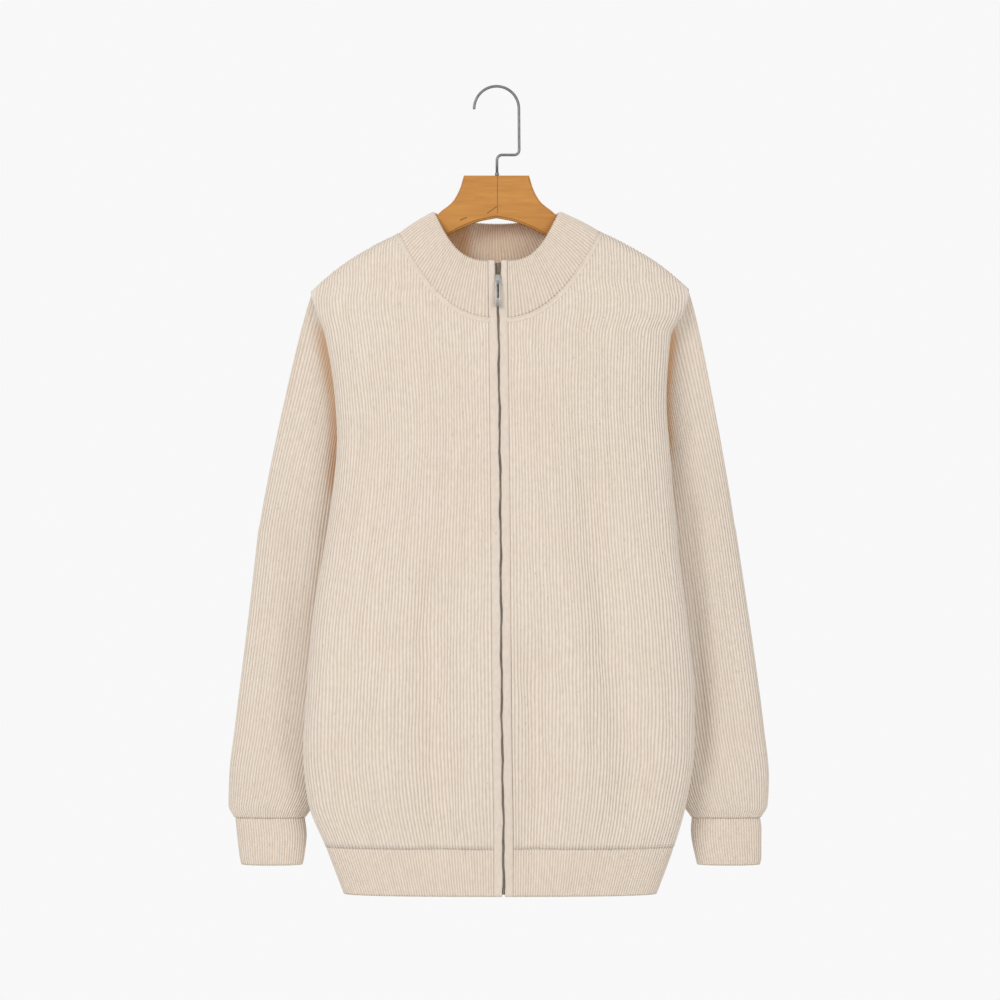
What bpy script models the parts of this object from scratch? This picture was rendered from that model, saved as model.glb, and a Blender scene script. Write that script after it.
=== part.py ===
"""A full-zip ribbed sweater hanging on a flat wooden hanger with a wire hook.

Sizes are in millimetres and become metres as each mesh is made. +Z is up, the front of
the sweater faces -Y, and left means the viewer's left, -X. The origin is the inside top
of the hook, where the rod carries it. Heights are therefore negative.
"""
import bisect
import functools
import math

import bmesh
import bpy
import numpy as np

MM = 0.001
SEAM_GAP = 0.35
LEFT = -1
RIGHT = 1

# Cloth
CLOTH_WALL = 1.9
RIB_HEIGHT = 1.1
FRONT_RIBS = 25
FRONT_COLUMNS = 2 * FRONT_RIBS
SLEEVE_RIBS = 32
CUFF_RIBS = 16
COLLAR_RIBS = 70
INNER_STEP = 4
SLEEVE_JOINT_GAP = 1.0

# Body levels
HEM_SEAM = -803.8
HEM_BOTTOM = -853.6
BACK_HEM_DROP = 2.0
ARMHOLE_TURN = -405.0
UNDERARM = -428.0
ARMHOLE_FRONT_COLUMN = 47
ARMHOLE_BACK_COLUMN = 5
ARMHOLE_BACK_SHARE = (
    (-426.0, 0.10),
    (-331.0, 0.10),
    (-285.0, 0.085),
    (-245.0, 0.045),
    (-212.0, 0.012),
)
SIDE_SEAM_ANGLE = math.pi / 2 + 0.356
LOW_ROWS = (0.0, 0.05, 0.13, 0.27, 0.42, 0.59, 0.79, 1.0)
HIGH_ROWS = (0.0, 0.3, 0.6, 0.85, 0.953, 0.984, 1.0)
HEM_EDGE_ROWS = (2.0, 24.0)
HEM_SEAM_ROW = 5.0
RING_STEPS = 240
TOP_SEARCH_START = -200.0
TOP_SEARCH_ROUNDS = 12

# The body's rings: how far each side, the front and the back reach from the hook's line,
# and how square the ring is.
BODY_COLUMNS = ("height", "left", "right", "front", "back", "square")
BODY_RINGS = (
    (-120.0, 200.0, 206.0, 36.0, 30.0, 4.0),
    (-210.0, 198.0, 205.0, 36.0, 30.0, 4.0),
    (-238.0, 190.0, 198.0, 36.0, 30.0, 3.8),
    (-262.0, 181.0, 184.0, 36.0, 29.0, 3.4),
    (-331.0, 170.0, 179.0, 37.0, 28.0, 2.8),
    (-372.0, 168.0, 181.5, 38.0, 27.0, 2.6),
    (-416.0, 171.0, 185.0, 39.0, 27.0, 2.6),
    (-490.0, 182.0, 192.0, 41.0, 27.0, 2.6),
    (-570.0, 195.0, 202.0, 42.0, 28.0, 2.6),
    (-650.0, 201.0, 209.0, 42.0, 28.0, 2.6),
    (-700.0, 204.0, 208.5, 41.0, 28.0, 2.6),
    (-755.0, 199.0, 200.5, 38.0, 27.0, 2.6),
    (-804.0, 180.0, 187.0, 33.0, 25.0, 2.6),
    (-856.0, 160.0, 168.0, 29.0, 23.0, 2.6),
)

# The shoulder line, seen from the front, by distance from the sweater's middle.
SHOULDER_MIDDLE = 5.0
SHOULDER_COLUMNS = ("away", "height")
SHOULDER_LINE = (
    (0.0, -132.0),
    (60.0, -140.0),
    (105.0, -154.0),
    (140.0, -171.0),
    (165.0, -186.5),
    (194.0, -210.0),
    (212.0, -228.0),
)
SHOULDER_ROUND = 8.5
DEPTH_REACH = 70.0

# Neck
NECK_MIDDLE = 2.6
NECK_HALF_WIDTH = 107.0
NECK_LOW_FRONT = -248.0
NECK_LOW_BACK = -192.0
NECK_POWER_FRONT = 2.4
NECK_POWER_BACK = 2.6
NECK_GAP = 0.8
RIM_HALF_WIDTH = 67.0
RIM_TOP = -131.5
RIM_DROP_FRONT = 53.0
RIM_DROP_BACK = 12.0
RIM_FRONT = 36.0
RIM_BACK = 34.0
COLLAR_WALL = 3.4
COLLAR_BULGE = 2.0
COLLAR_ROWS = (0.0, 0.12, 0.5, 0.88, 1.0)
COLLAR_MIDDLE = 0.5
COLLAR_STEPS = 721
COLLAR_EDGE_SHARE = 0.2
RIM_SAG_INNER = 2.2
RIM_SAG_OUTER = 1.6
NECK_EDGE_REACH = 2.0

# Folds in the body's cloth: where each runs, how wide it is, and how deep it is pushed
# in. A negative depth stands out.
FOLD_COLUMNS = ("x_high", "x_mid", "x_low", "high", "low", "width", "depth")
FRONT_FOLDS = (
    (-139.0, -122.0, -148.0, -290.0, -640.0, 20.0, 5.0),
    (-146.0, -160.0, -166.0, -580.0, -800.0, 18.0, 4.0),
    (-70.0, -64.0, -66.0, -490.0, -840.0, 22.0, 8.0),
    (-118.0, -123.0, -125.0, -590.0, -800.0, 22.0, -3.0),
    (-30.0, -28.0, -28.0, -570.0, -810.0, 18.0, -3.0),
    (38.0, 42.0, 40.0, -560.0, -850.0, 18.0, 6.0),
    (94.0, 122.0, 153.0, -380.0, -800.0, 21.0, 7.0),
    (80.0, 88.0, 97.0, -540.0, -810.0, 20.0, -3.0),
)
BACK_FOLDS = (
    (-120.0, -128.0, -140.0, -330.0, -760.0, 20.0, 5.0),
    (-52.0, -60.0, -70.0, -420.0, -830.0, 22.0, 6.0),
    (18.0, 12.0, 6.0, -480.0, -810.0, 18.0, -4.0),
    (64.0, 70.0, 82.0, -360.0, -840.0, 21.0, 6.0),
    (128.0, 136.0, 148.0, -430.0, -790.0, 18.0, 4.0),
)
FOLD_FADE = 60.0

# Sleeves: how far each reaches out at a height, how wide it is, and where it lies in depth.
SLEEVE_COLUMNS = ("height", "left", "right", "left_width", "right_width", "depth", "thick")
SLEEVE_RINGS = (
    (-470.0, 254.5, 256.0, 116.0, 107.0, 38.0, 36.0),
    (-540.0, 262.5, 266.5, 114.5, 108.5, 38.0, 36.0),
    (-610.0, 271.0, 276.5, 114.5, 111.0, 37.0, 37.0),
    (-680.0, 279.5, 285.5, 111.5, 110.5, 36.0, 38.0),
    (-735.0, 285.5, 291.0, 102.5, 102.5, 35.0, 38.0),
    (-764.0, 286.0, 289.5, 89.0, 88.5, 34.0, 36.0),
    (-776.0, 280.0, 282.5, 74.5, 73.0, 33.0, 30.0),
)
SLEEVE_LEVELS = (-470.0, -560.0, -650.0, -735.0, -764.0, -776.0)
CAP_STEPS = (0.0, 0.08, 0.22, 0.42, 0.68)
CAP_TANGENT = 12.0
CAP_DROP = 62.0
CAP_LEAN = 0.14
UNDERARM_TANGENT = 19.0
UNDERARM_DROP = 52.0
UNDERARM_SPREAD = 0.22
UNDERARM_THINNING = 0.5
UNDERARM_DENSE = 12
OVAL_POWER = 0.85
OVAL_STEPS = 361
CORNER_REACH = 0.6
CUFF_RINGS = (
    (-776.4, 279.0, 281.5, 72.5, 71.5, 33.0, 28.0),
    (-790.0, 277.6, 283.0, 73.0, 74.0, 33.0, 29.0),
    (-820.0, 274.0, 283.0, 67.0, 69.0, 33.0, 28.0),
    (-827.0, 272.5, 281.5, 64.0, 66.0, 33.0, 26.0),
)

# Zip and plackets
ZIP_COLUMNS = ("height", "x")
ZIP_LINE = (
    (-130.0, 0.6),
    (-302.0, 2.6),
    (-416.0, 3.9),
    (-682.0, 5.8),
    (-804.0, 7.4),
    (-860.0, 7.4),
)
ZIP_HALF_GAP = 1.1
PLACKET_WIDTH = 8.6
PLACKET_THICK = 2.6
PLACKET_PROUD = 0.9
PLACKET_LEVELS = 15
TAPE_THICK = 0.9
TAPE_START = 0.3
TAPE_WIDTH = 8.0
TAPE_SHORT = 2.0
FRONT_EDGE = ZIP_HALF_GAP + PLACKET_WIDTH + SEAM_GAP

# Slider and pull tab
SLIDER_LEVEL = -206.1
SLIDER_WIDTH = 6.2
SLIDER_LENGTH = 12.0
SLIDER_PLATE = 1.5
SLIDER_CLEARANCE = 0.5
SLIDER_NECK_DEPTH = 3.4
SLIDER_NECK_SHARE = 0.7
SLIDER_LAP = 0.2
BRIDGE_WIDTH = 1.3
BRIDGE_THICK = 0.9
BRIDGE_EYE = 2.6
BRIDGE_LENGTH = 4.6
BRIDGE_OFFSET = 0.5
BRIDGE_LEG_LAP = 0.4
BRIDGE_LEG_WIDTH = 1.26
BRIDGE_LEG_THICK = 0.86
TAB_WIDTH = 5.7
TAB_LENGTH = 24.5
TAB_THICK = 1.3
TAB_SLOT_WIDTH = 2.5
TAB_SLOT_LENGTH = 15.8
TAB_EDGE = 0.75
TAB_CORNER = 1.2
TAB_SLOT_CORNER = 0.9
TAB_CORNER_STEPS = 4

# Hanger
HANGER_THICK = 12.0
HANGER_BEVEL = 3.2
HANGER_TOP_HALF = 34.5
HANGER_TOP = -93.6
HANGER_UPPER_STEPS = 13
HANGER_LOWER_STEPS = 9
HANGER_BEVEL_ANGLE = 60
HANGER_UPPER_EDGE = (
    (39.0, -108.4),
    (47.0, -122.0),
    (59.0, -131.6),
    (71.0, -143.5),
    (88.0, -155.5),
    (107.0, -166.5),
    (140.0, -179.0),
    (162.0, -192.5),
    (171.0, -201.0),
)
HANGER_TIP = (173.0, -210.0)
HANGER_LOWER_EDGE = (
    (167.0, -215.5),
    (150.0, -209.0),
    (105.0, -184.5),
    (50.0, -155.5),
    (34.0, -147.5),
    (18.0, -141.5),
    (0.0, -138.0),
)
WIRE = 2.9
HOOK_RADIUS = 23.7
HOOK_SHANK_X = 24.0
HOOK_STEP = -71.3
HOOK_STEM_X = 0.5
HOOK_CORNER = 5.3
HOOK_STEPS = 15
HOOK_CORNER_STEPS = 5

# Materials: colour, roughness, metallic
MATERIALS = {
    "oatmeal_knit": ((0.70, 0.58, 0.45), 0.95, 0.0),
    "oatmeal_rib": ((0.67, 0.55, 0.42), 0.95, 0.0),
    "zip_tape": ((0.55, 0.42, 0.30), 0.9, 0.0),
    "zip_metal": ((0.36, 0.31, 0.25), 0.4, 1.0),
    "wood": ((0.58, 0.27, 0.07), 0.45, 0.0),
    "hook_steel": ((0.42, 0.42, 0.42), 0.35, 1.0),
}


def clear_scene():
    for item in list(bpy.data.objects):
        bpy.data.objects.remove(item, do_unlink=True)


def material(name):
    """The named material, made on its first use."""
    found = bpy.data.materials.get(name)
    if found:
        return found
    colour, roughness, metallic = MATERIALS[name]
    made = bpy.data.materials.new(name)
    made.use_nodes = True
    shader = made.node_tree.nodes["Principled BSDF"]
    shader.inputs["Base Color"].default_value = (*colour, 1.0)
    shader.inputs["Roughness"].default_value = roughness
    shader.inputs["Metallic"].default_value = metallic
    return made


def curve_through(rows, key, column):
    """A smooth curve through two columns of a table that never overshoots its rows."""
    pairs = sorted((row[key], row[column]) for row in rows)
    places = [pair[0] for pair in pairs]
    values = [pair[1] for pair in pairs]
    slopes = [(values[i + 1] - values[i]) / (places[i + 1] - places[i]) for i in range(len(pairs) - 1)]
    tangents = [slopes[0]]
    for before, after in zip(slopes, slopes[1:]):
        tangents.append(0.0 if before * after <= 0.0 else 2.0 * before * after / (before + after))
    tangents.append(slopes[-1])

    def value(place):
        if place <= places[0]:
            return values[0]
        if place >= places[-1]:
            return values[-1]
        i = bisect.bisect_right(places, place) - 1
        span = places[i + 1] - places[i]
        t = (place - places[i]) / span
        rest = 1.0 - t
        return (
            values[i] * rest * rest * (1.0 + 2.0 * t)
            + tangents[i] * span * t * rest * rest
            + values[i + 1] * t * t * (3.0 - 2.0 * t)
            - tangents[i + 1] * span * t * t * rest
        )

    return value


def table_curves(rows, names):
    """One smooth curve for each named column, by the table's first column."""
    return {name: curve_through(rows, 0, place) for place, name in enumerate(names) if place}


BODY = table_curves(BODY_RINGS, BODY_COLUMNS)
SHOULDER = table_curves(SHOULDER_LINE, SHOULDER_COLUMNS)["height"]
ZIP_X = table_curves(ZIP_LINE, ZIP_COLUMNS)["x"]
SLEEVE = table_curves(SLEEVE_RINGS, SLEEVE_COLUMNS)
CUFF = table_curves(CUFF_RINGS, SLEEVE_COLUMNS)


def smooth_step(value):
    value = min(max(value, 0.0), 1.0)
    return value * value * (3.0 - 2.0 * value)


def shoulder_height(x):
    return SHOULDER(abs(x - SHOULDER_MIDDLE))


def neck_height(x, low, power):
    """The neck seam's height at x, on the front or the back. It ends on the shoulder line."""
    side = LEFT if x < NECK_MIDDLE else RIGHT
    top = shoulder_height(NECK_MIDDLE + side * NECK_HALF_WIDTH)
    ratio = min(abs(x - NECK_MIDDLE) / NECK_HALF_WIDTH, 1.0)
    return low + (top - low) * ratio**power


FRONT_NECK = (NECK_LOW_FRONT, NECK_POWER_FRONT)
BACK_NECK = (NECK_LOW_BACK, NECK_POWER_BACK)
BACK_ARM_SHARE = curve_through(ARMHOLE_BACK_SHARE, 0, 1)


def fold_push(folds, x, height):
    """How far the folds push the cloth in at a place, negative where it stands out."""
    push = 0.0
    for row in folds:
        fold = dict(zip(FOLD_COLUMNS, row))
        along = (fold["high"] - height) / (fold["high"] - fold["low"])
        run = min(max(along, 0.0), 1.0)
        middle = (
            fold["x_high"] * (1 - run) * (1 - 2 * run)
            + fold["x_mid"] * 4 * run * (1 - run)
            + fold["x_low"] * run * (2 * run - 1)
        )
        fade_in = smooth_step((fold["high"] - height) / FOLD_FADE)
        fade_out = smooth_step((height - fold["low"]) / FOLD_FADE)
        push += fold["depth"] * fade_in * fade_out * math.exp(-(((x - middle) / fold["width"]) ** 2))
    return push


def wall_depth(reach, x, height):
    """How far the cloth stands from the hanger's plane below the shoulder line."""
    below = max(shoulder_height(x) - height, 0.0)
    part = min(below / SHOULDER_ROUND, 1.0)
    over = SHOULDER_ROUND * math.sqrt(1.0 - (1.0 - part) ** 2)
    return over + (reach - SHOULDER_ROUND) * (1.0 - math.exp(-below / DEPTH_REACH))


def ring_place(side, angle, height):
    """A point of the body's ring: angle 0 is the front middle and pi is the back middle."""
    zip_x = ZIP_X(height)
    reach = BODY["left"](height) if side == LEFT else BODY["right"](height)
    power = 2.0 / BODY["square"](height)
    across = abs(math.sin(angle)) ** power
    x = zip_x + (side * reach - zip_x) * across
    facing = abs(math.cos(angle)) ** power
    if angle <= math.pi / 2:
        depth = wall_depth(BODY["front"](height), x, height)
        y = -(depth - fold_push(FRONT_FOLDS, x, height)) * facing
    else:
        depth = wall_depth(BODY["back"](height), x, height)
        y = (depth - fold_push(BACK_FOLDS, x, height)) * facing
    return x, y


ring_cache = {}


def ring_lengths(side, height):
    """The ring's points on one side and how far along the cloth each one is."""
    key = (side, round(height, 2))
    if key not in ring_cache:
        angles = np.concatenate((
            np.linspace(0.0, SIDE_SEAM_ANGLE, RING_STEPS, endpoint=False),
            np.linspace(SIDE_SEAM_ANGLE, math.pi, RING_STEPS // 2),
        ))
        points = np.array([ring_place(side, angle, height) for angle in angles])
        steps = np.hypot(*np.diff(points, axis=0).T)
        lengths = np.concatenate(([0.0], np.cumsum(steps)))
        ring_cache[key] = (points, lengths, lengths[RING_STEPS])
    return ring_cache[key]


def place_along(points, lengths, along, height):
    """The point of a ring that lies a given length along it."""
    x = np.interp(along, lengths, points[:, 0])
    y = np.interp(along, lengths, points[:, 1])
    return np.array([x, y, height])


def front_place(side, share, height):
    """A point of a front panel: share 0 is beside the placket, 1 is the side seam."""
    points, lengths, seam = ring_lengths(side, height)
    along = FRONT_EDGE + share * (seam - SEAM_GAP / 2 - FRONT_EDGE)
    return place_along(points, lengths, along, height)


def back_place(side, share, height):
    """A point of the back panel: share 0 is the side seam, 1 is the back's middle."""
    points, lengths, seam = ring_lengths(side, height)
    edge = ARMHOLE_BACK_COLUMN / FRONT_COLUMNS
    moved_edge = BACK_ARM_SHARE(height)
    if share < edge:
        share = share / edge * moved_edge
    else:
        share = moved_edge + (share - edge) / (1.0 - edge) * (1.0 - moved_edge)
    start = seam + SEAM_GAP / 2
    along = start + share * (lengths[-1] - start)
    return place_along(points, lengths, along, height)


def column_heights(place, share, neck, chest):
    """The heights of one column's points, from the hem seam to the neck or the shoulder."""
    top = TOP_SEARCH_START
    for _ in range(TOP_SEARCH_ROUNDS):
        x = place(share, top)[0]
        if abs(x - NECK_MIDDLE) < NECK_HALF_WIDTH:
            top = neck_height(x, *neck) - SEAM_GAP
        else:
            top = shoulder_height(x)
    low = [HEM_SEAM + row * (chest - HEM_SEAM) for row in LOW_ROWS]
    high = [chest + row * (top - chest) for row in HIGH_ROWS[1:]]
    return low + high


CHEST_ROW = len(LOW_ROWS) - 1


def front_grid(side):
    """Points of a front panel's cloth, rows from the hem up, columns from zip to side."""
    columns = []
    arm_share = ARMHOLE_FRONT_COLUMN / FRONT_COLUMNS
    for column in range(FRONT_COLUMNS + 1):
        share = column / FRONT_COLUMNS
        past = max(share - arm_share, 0.0) / (1.0 - arm_share)
        chest = ARMHOLE_TURN + (UNDERARM - ARMHOLE_TURN) * math.sin(past * math.pi / 2)
        place = functools.partial(front_place, side)
        heights = column_heights(place, min(share, arm_share), FRONT_NECK, chest)
        columns.append([place(share, height) for height in heights])
    points = np.array(columns).transpose(1, 0, 2)
    top = points[-1]
    top[:, 1] = np.minimum(top[:, 1], -SEAM_GAP / 2)
    return points


def back_grid():
    """Points of the back's cloth, rows from the hem up, columns from left to right seam."""
    halves = []
    arm_share = ARMHOLE_BACK_COLUMN / FRONT_COLUMNS
    for side in (LEFT, RIGHT):
        columns = []
        for column in range(FRONT_COLUMNS + 1):
            share = column / FRONT_COLUMNS
            before = max(arm_share - share, 0.0) / arm_share
            chest = ARMHOLE_TURN + (UNDERARM - ARMHOLE_TURN) * math.sin(before * math.pi / 2)
            place = functools.partial(back_place, side)
            heights = column_heights(place, max(share, arm_share), BACK_NECK, chest)
            columns.append([place(share, height) for height in heights])
        halves.append(columns)
    whole = halves[0] + halves[1][-2::-1]
    points = np.array(whole).transpose(1, 0, 2)
    top = points[-1]
    top[:, 1] = np.maximum(top[:, 1], SEAM_GAP / 2)
    return points


def cloth_normals(points, closed, outward, shoulders=False):
    """Unit normals of a grid of points, turned out by `outward`, 1 or -1.

    Along the shoulder seam they lie in the hanger's plane, so that both edges are flat there.
    """
    if closed:
        across = np.roll(points, -1, axis=1) - np.roll(points, 1, axis=1)
    else:
        across = np.gradient(points, axis=1)
    along = np.gradient(points, axis=0)
    normals = np.cross(across, along)
    lengths = np.linalg.norm(normals, axis=2, keepdims=True)
    normals = normals / np.maximum(lengths, 1e-9) * outward
    if shoulders:
        top = normals[-1]
        on_shoulder = np.abs(points[-1, :, 0] - NECK_MIDDLE) > NECK_HALF_WIDTH - NECK_EDGE_REACH
        top[on_shoulder, 1] = 0.0
        top[on_shoulder] /= np.linalg.norm(top[on_shoulder], axis=1, keepdims=True)
    return normals


def object_from_mesh(name, mesh_builder, slot):
    """A named object from a bmesh, in metres, with its faces pointing out."""
    bmesh.ops.recalc_face_normals(mesh_builder, faces=mesh_builder.faces)
    if mesh_builder.calc_volume(signed=True) < 0.0:
        bmesh.ops.reverse_faces(mesh_builder, faces=mesh_builder.faces)
    bmesh.ops.scale(mesh_builder, vec=(MM, MM, MM), verts=mesh_builder.verts)
    mesh = bpy.data.meshes.new(name)
    mesh_builder.to_mesh(mesh)
    mesh_builder.free()
    mesh.materials.append(material(slot))
    made = bpy.data.objects.new(name, mesh)
    bpy.context.scene.collection.objects.link(made)
    return made


def ribbed_wall(name, outer, inner, slot, closed=False, inner_columns=(), present=None):
    """A cloth wall between a ribbed outer grid and a plainer inner one.

    The inner side keeps only the given columns. `present` says which cells hold cloth.
    """
    rows, columns = outer.shape[:2]
    cells = columns if closed else columns - 1
    keep = sorted(set(inner_columns))

    def held(row, cell):
        if closed:
            cell %= cells
        inside = 0 <= row < rows - 1 and 0 <= cell < cells
        return inside and (present is None or present(row, cell))

    builder = bmesh.new()
    made = {}

    def vertex(layer, row, column):
        column = column % columns if closed else column
        key = (layer, row, column)
        if key not in made:
            grid = outer if layer == "outer" else inner
            made[key] = builder.verts.new(grid[row][column])
        return made[key]

    for row in range(rows - 1):
        for cell in range(cells):
            if held(row, cell):
                a = vertex("outer", row, cell)
                b = vertex("outer", row, cell + 1)
                c = vertex("outer", row + 1, cell + 1)
                d = vertex("outer", row + 1, cell)
                builder.faces.new((a, b, c))
                builder.faces.new((a, c, d))
    ends = keep[1:] + [keep[0] + columns] if closed else keep[1:]
    spans = list(zip(keep, ends))
    for row in range(rows - 1):
        for start, end in spans:
            if held(row, start):
                a = vertex("inner", row, start)
                b = vertex("inner", row, end)
                c = vertex("inner", row + 1, end)
                d = vertex("inner", row + 1, start)
                builder.faces.new((a, c, b))
                builder.faces.new((a, d, c))
    for row in range(rows):
        for start, end in spans:
            if held(row, start) != held(row - 1, start):
                half = (start + end) // 2
                for column in range(start, end):
                    near = start if column < half else end
                    builder.faces.new((
                        vertex("outer", row, column),
                        vertex("outer", row, column + 1),
                        vertex("inner", row, near),
                    ))
                builder.faces.new((
                    vertex("outer", row, half),
                    vertex("inner", row, end),
                    vertex("inner", row, start),
                ))
    if not closed:
        for column in keep:
            for row in range(rows - 1):
                if held(row, column) != held(row, column - 1):
                    a = vertex("outer", row, column)
                    b = vertex("outer", row + 1, column)
                    c = vertex("inner", row + 1, column)
                    d = vertex("inner", row, column)
                    builder.faces.new((a, b, c))
                    builder.faces.new((a, c, d))
    object_from_mesh(name, builder, slot)


def ribbed(points, normals, height=RIB_HEIGHT):
    """The grid moved out along its normals at every other column."""
    ridge = (np.arange(points.shape[1]) % 2)[None, :, None]
    return points + normals * ridge * height


def inner_columns_of(count, extra=()):
    return sorted(set(range(0, count, INNER_STEP)) | {count} | set(extra))


def make_front(name, side):
    points = front_grid(side)
    normals = cloth_normals(points, False, side, shoulders=True)
    ribbed_wall(
        name,
        ribbed(points, normals),
        points - normals * CLOTH_WALL,
        "oatmeal_knit",
        inner_columns=inner_columns_of(FRONT_COLUMNS, range(ARMHOLE_FRONT_COLUMN, FRONT_COLUMNS)),
        present=lambda row, cell: row < CHEST_ROW or cell < ARMHOLE_FRONT_COLUMN,
    )
    return points, normals


def make_back():
    points = back_grid()
    normals = cloth_normals(points, False, LEFT, shoulders=True)
    first = ARMHOLE_BACK_COLUMN
    last = 2 * FRONT_COLUMNS - ARMHOLE_BACK_COLUMN
    ribbed_wall(
        "back",
        ribbed(points, normals),
        points - normals * CLOTH_WALL,
        "oatmeal_knit",
        inner_columns=inner_columns_of(2 * FRONT_COLUMNS, (2, first, last, 2 * FRONT_COLUMNS - 2)),
        present=lambda row, cell: row < CHEST_ROW or first <= cell < last,
    )
    return points, normals


def hem_grid(place, bottom):
    """Points of a hem band, rows from its bottom up to the hem seam."""
    top = HEM_SEAM - SEAM_GAP
    levels = [bottom] + [bottom + row for row in HEM_EDGE_ROWS] + [top - HEM_SEAM_ROW, top]
    shares = [column / FRONT_COLUMNS for column in range(FRONT_COLUMNS + 1)]
    return np.array([[place(share, level) for share in shares] for level in levels])


def make_hems():
    for name, side in (("hem_front_left", LEFT), ("hem_front_right", RIGHT)):
        points = hem_grid(functools.partial(front_place, side), HEM_BOTTOM)
        normals = cloth_normals(points, False, side)
        ribbed_wall(
            name,
            ribbed(points, normals),
            points - normals * CLOTH_WALL,
            "oatmeal_rib",
            inner_columns=inner_columns_of(FRONT_COLUMNS),
        )
    left, right = (
        hem_grid(functools.partial(back_place, side), HEM_BOTTOM - BACK_HEM_DROP)
        for side in (LEFT, RIGHT)
    )
    points = np.concatenate((left, right[:, -2::-1]), axis=1)
    normals = cloth_normals(points, False, LEFT)
    ribbed_wall(
        "hem_back",
        ribbed(points, normals),
        points - normals * CLOTH_WALL,
        "oatmeal_rib",
        inner_columns=inner_columns_of(2 * FRONT_COLUMNS),
    )


def unit(vector):
    return vector / max(np.linalg.norm(vector), 1e-9)


def armhole_loop(front, front_normals, back, back_normals, side):
    """The armhole's edge: down the front from the shoulder, under the arm, up the back.

    Gives each point with the way on past the edge and the cloth's normal there.
    """
    if side == LEFT:
        back_edge = ARMHOLE_BACK_COLUMN
        back_seam = 0
        toward_seam = -1
    else:
        back_seam = back.shape[1] - 1
        back_edge = back_seam - ARMHOLE_BACK_COLUMN
        toward_seam = 1
    top = front.shape[0] - 1
    up = np.array([0.0, 0.0, 1.0])
    loop = []
    for row in range(top, CHEST_ROW - 1, -1):
        place = front[row, ARMHOLE_FRONT_COLUMN]
        normal = front_normals[row, ARMHOLE_FRONT_COLUMN]
        rise = front[min(row + 1, top), ARMHOLE_FRONT_COLUMN] - front[row - 1, ARMHOLE_FRONT_COLUMN]
        loop.append((place, unit(np.cross(normal, unit(rise)) * -side), normal))
    for column in range(ARMHOLE_FRONT_COLUMN + 1, FRONT_COLUMNS + 1):
        loop.append((front[CHEST_ROW, column], up, front_normals[CHEST_ROW, column]))
    for column in range(back_seam - toward_seam, back_edge, -toward_seam):
        loop.append((back[CHEST_ROW, column], up, back_normals[CHEST_ROW, column]))
    for row in range(CHEST_ROW, top + 1):
        normal = back_normals[row, back_edge]
        rise = back[min(row + 1, top), back_edge] - back[row - 1, back_edge]
        loop.append((back[row, back_edge], unit(np.cross(normal, unit(rise)) * side), normal))
    return loop


def spread_round(lengths, total, count):
    """Evenly spread places along a loop, each nearest one moved onto a corner of it."""
    places = [total * i / count for i in range(count)]
    for corner in lengths:
        nearest = min(range(count), key=lambda i: abs(places[i] - corner))
        if abs(places[nearest] - corner) < total / count * CORNER_REACH:
            places[nearest] = corner
    return places


def smoothed_round(values, times):
    """Values round a loop, each evened out with its neighbours."""
    for _ in range(times):
        values = (np.roll(values, 1, axis=-2) + 2.0 * values + np.roll(values, -1, axis=-2)) / 4.0
    return values


def oval_ring(side, curves, height, count):
    """A ring of a sleeve or cuff: from its outer edge round the front, inner edge and back."""
    word = "left" if side == LEFT else "right"
    reach = curves[word](height)
    half_width = curves[word + "_width"](height) / 2
    half_thick = curves["thick"](height) / 2
    centre_x = side * (reach - half_width)
    centre_y = curves["depth"](height)
    angles = np.linspace(0.0, 2 * math.pi, OVAL_STEPS)
    across = np.cos(angles)
    deep = np.sin(angles)
    x = centre_x + side * half_width * np.sign(across) * np.abs(across) ** OVAL_POWER
    y = centre_y - half_thick * np.sign(deep) * np.abs(deep) ** OVAL_POWER
    lengths = np.concatenate(([0.0], np.cumsum(np.hypot(np.diff(x), np.diff(y)))))
    places = np.linspace(0.0, lengths[-1], count, endpoint=False)
    ring_x = np.interp(places, lengths, x)
    ring_y = np.interp(places, lengths, y)
    return np.array([ring_x, ring_y, np.full(count, height)]).T


def under_share(share):
    """How near a place round the armhole is to the underarm, from 0 to 1."""
    return smooth_step(1.0 - abs(share - 0.5) / UNDERARM_SPREAD)


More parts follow.
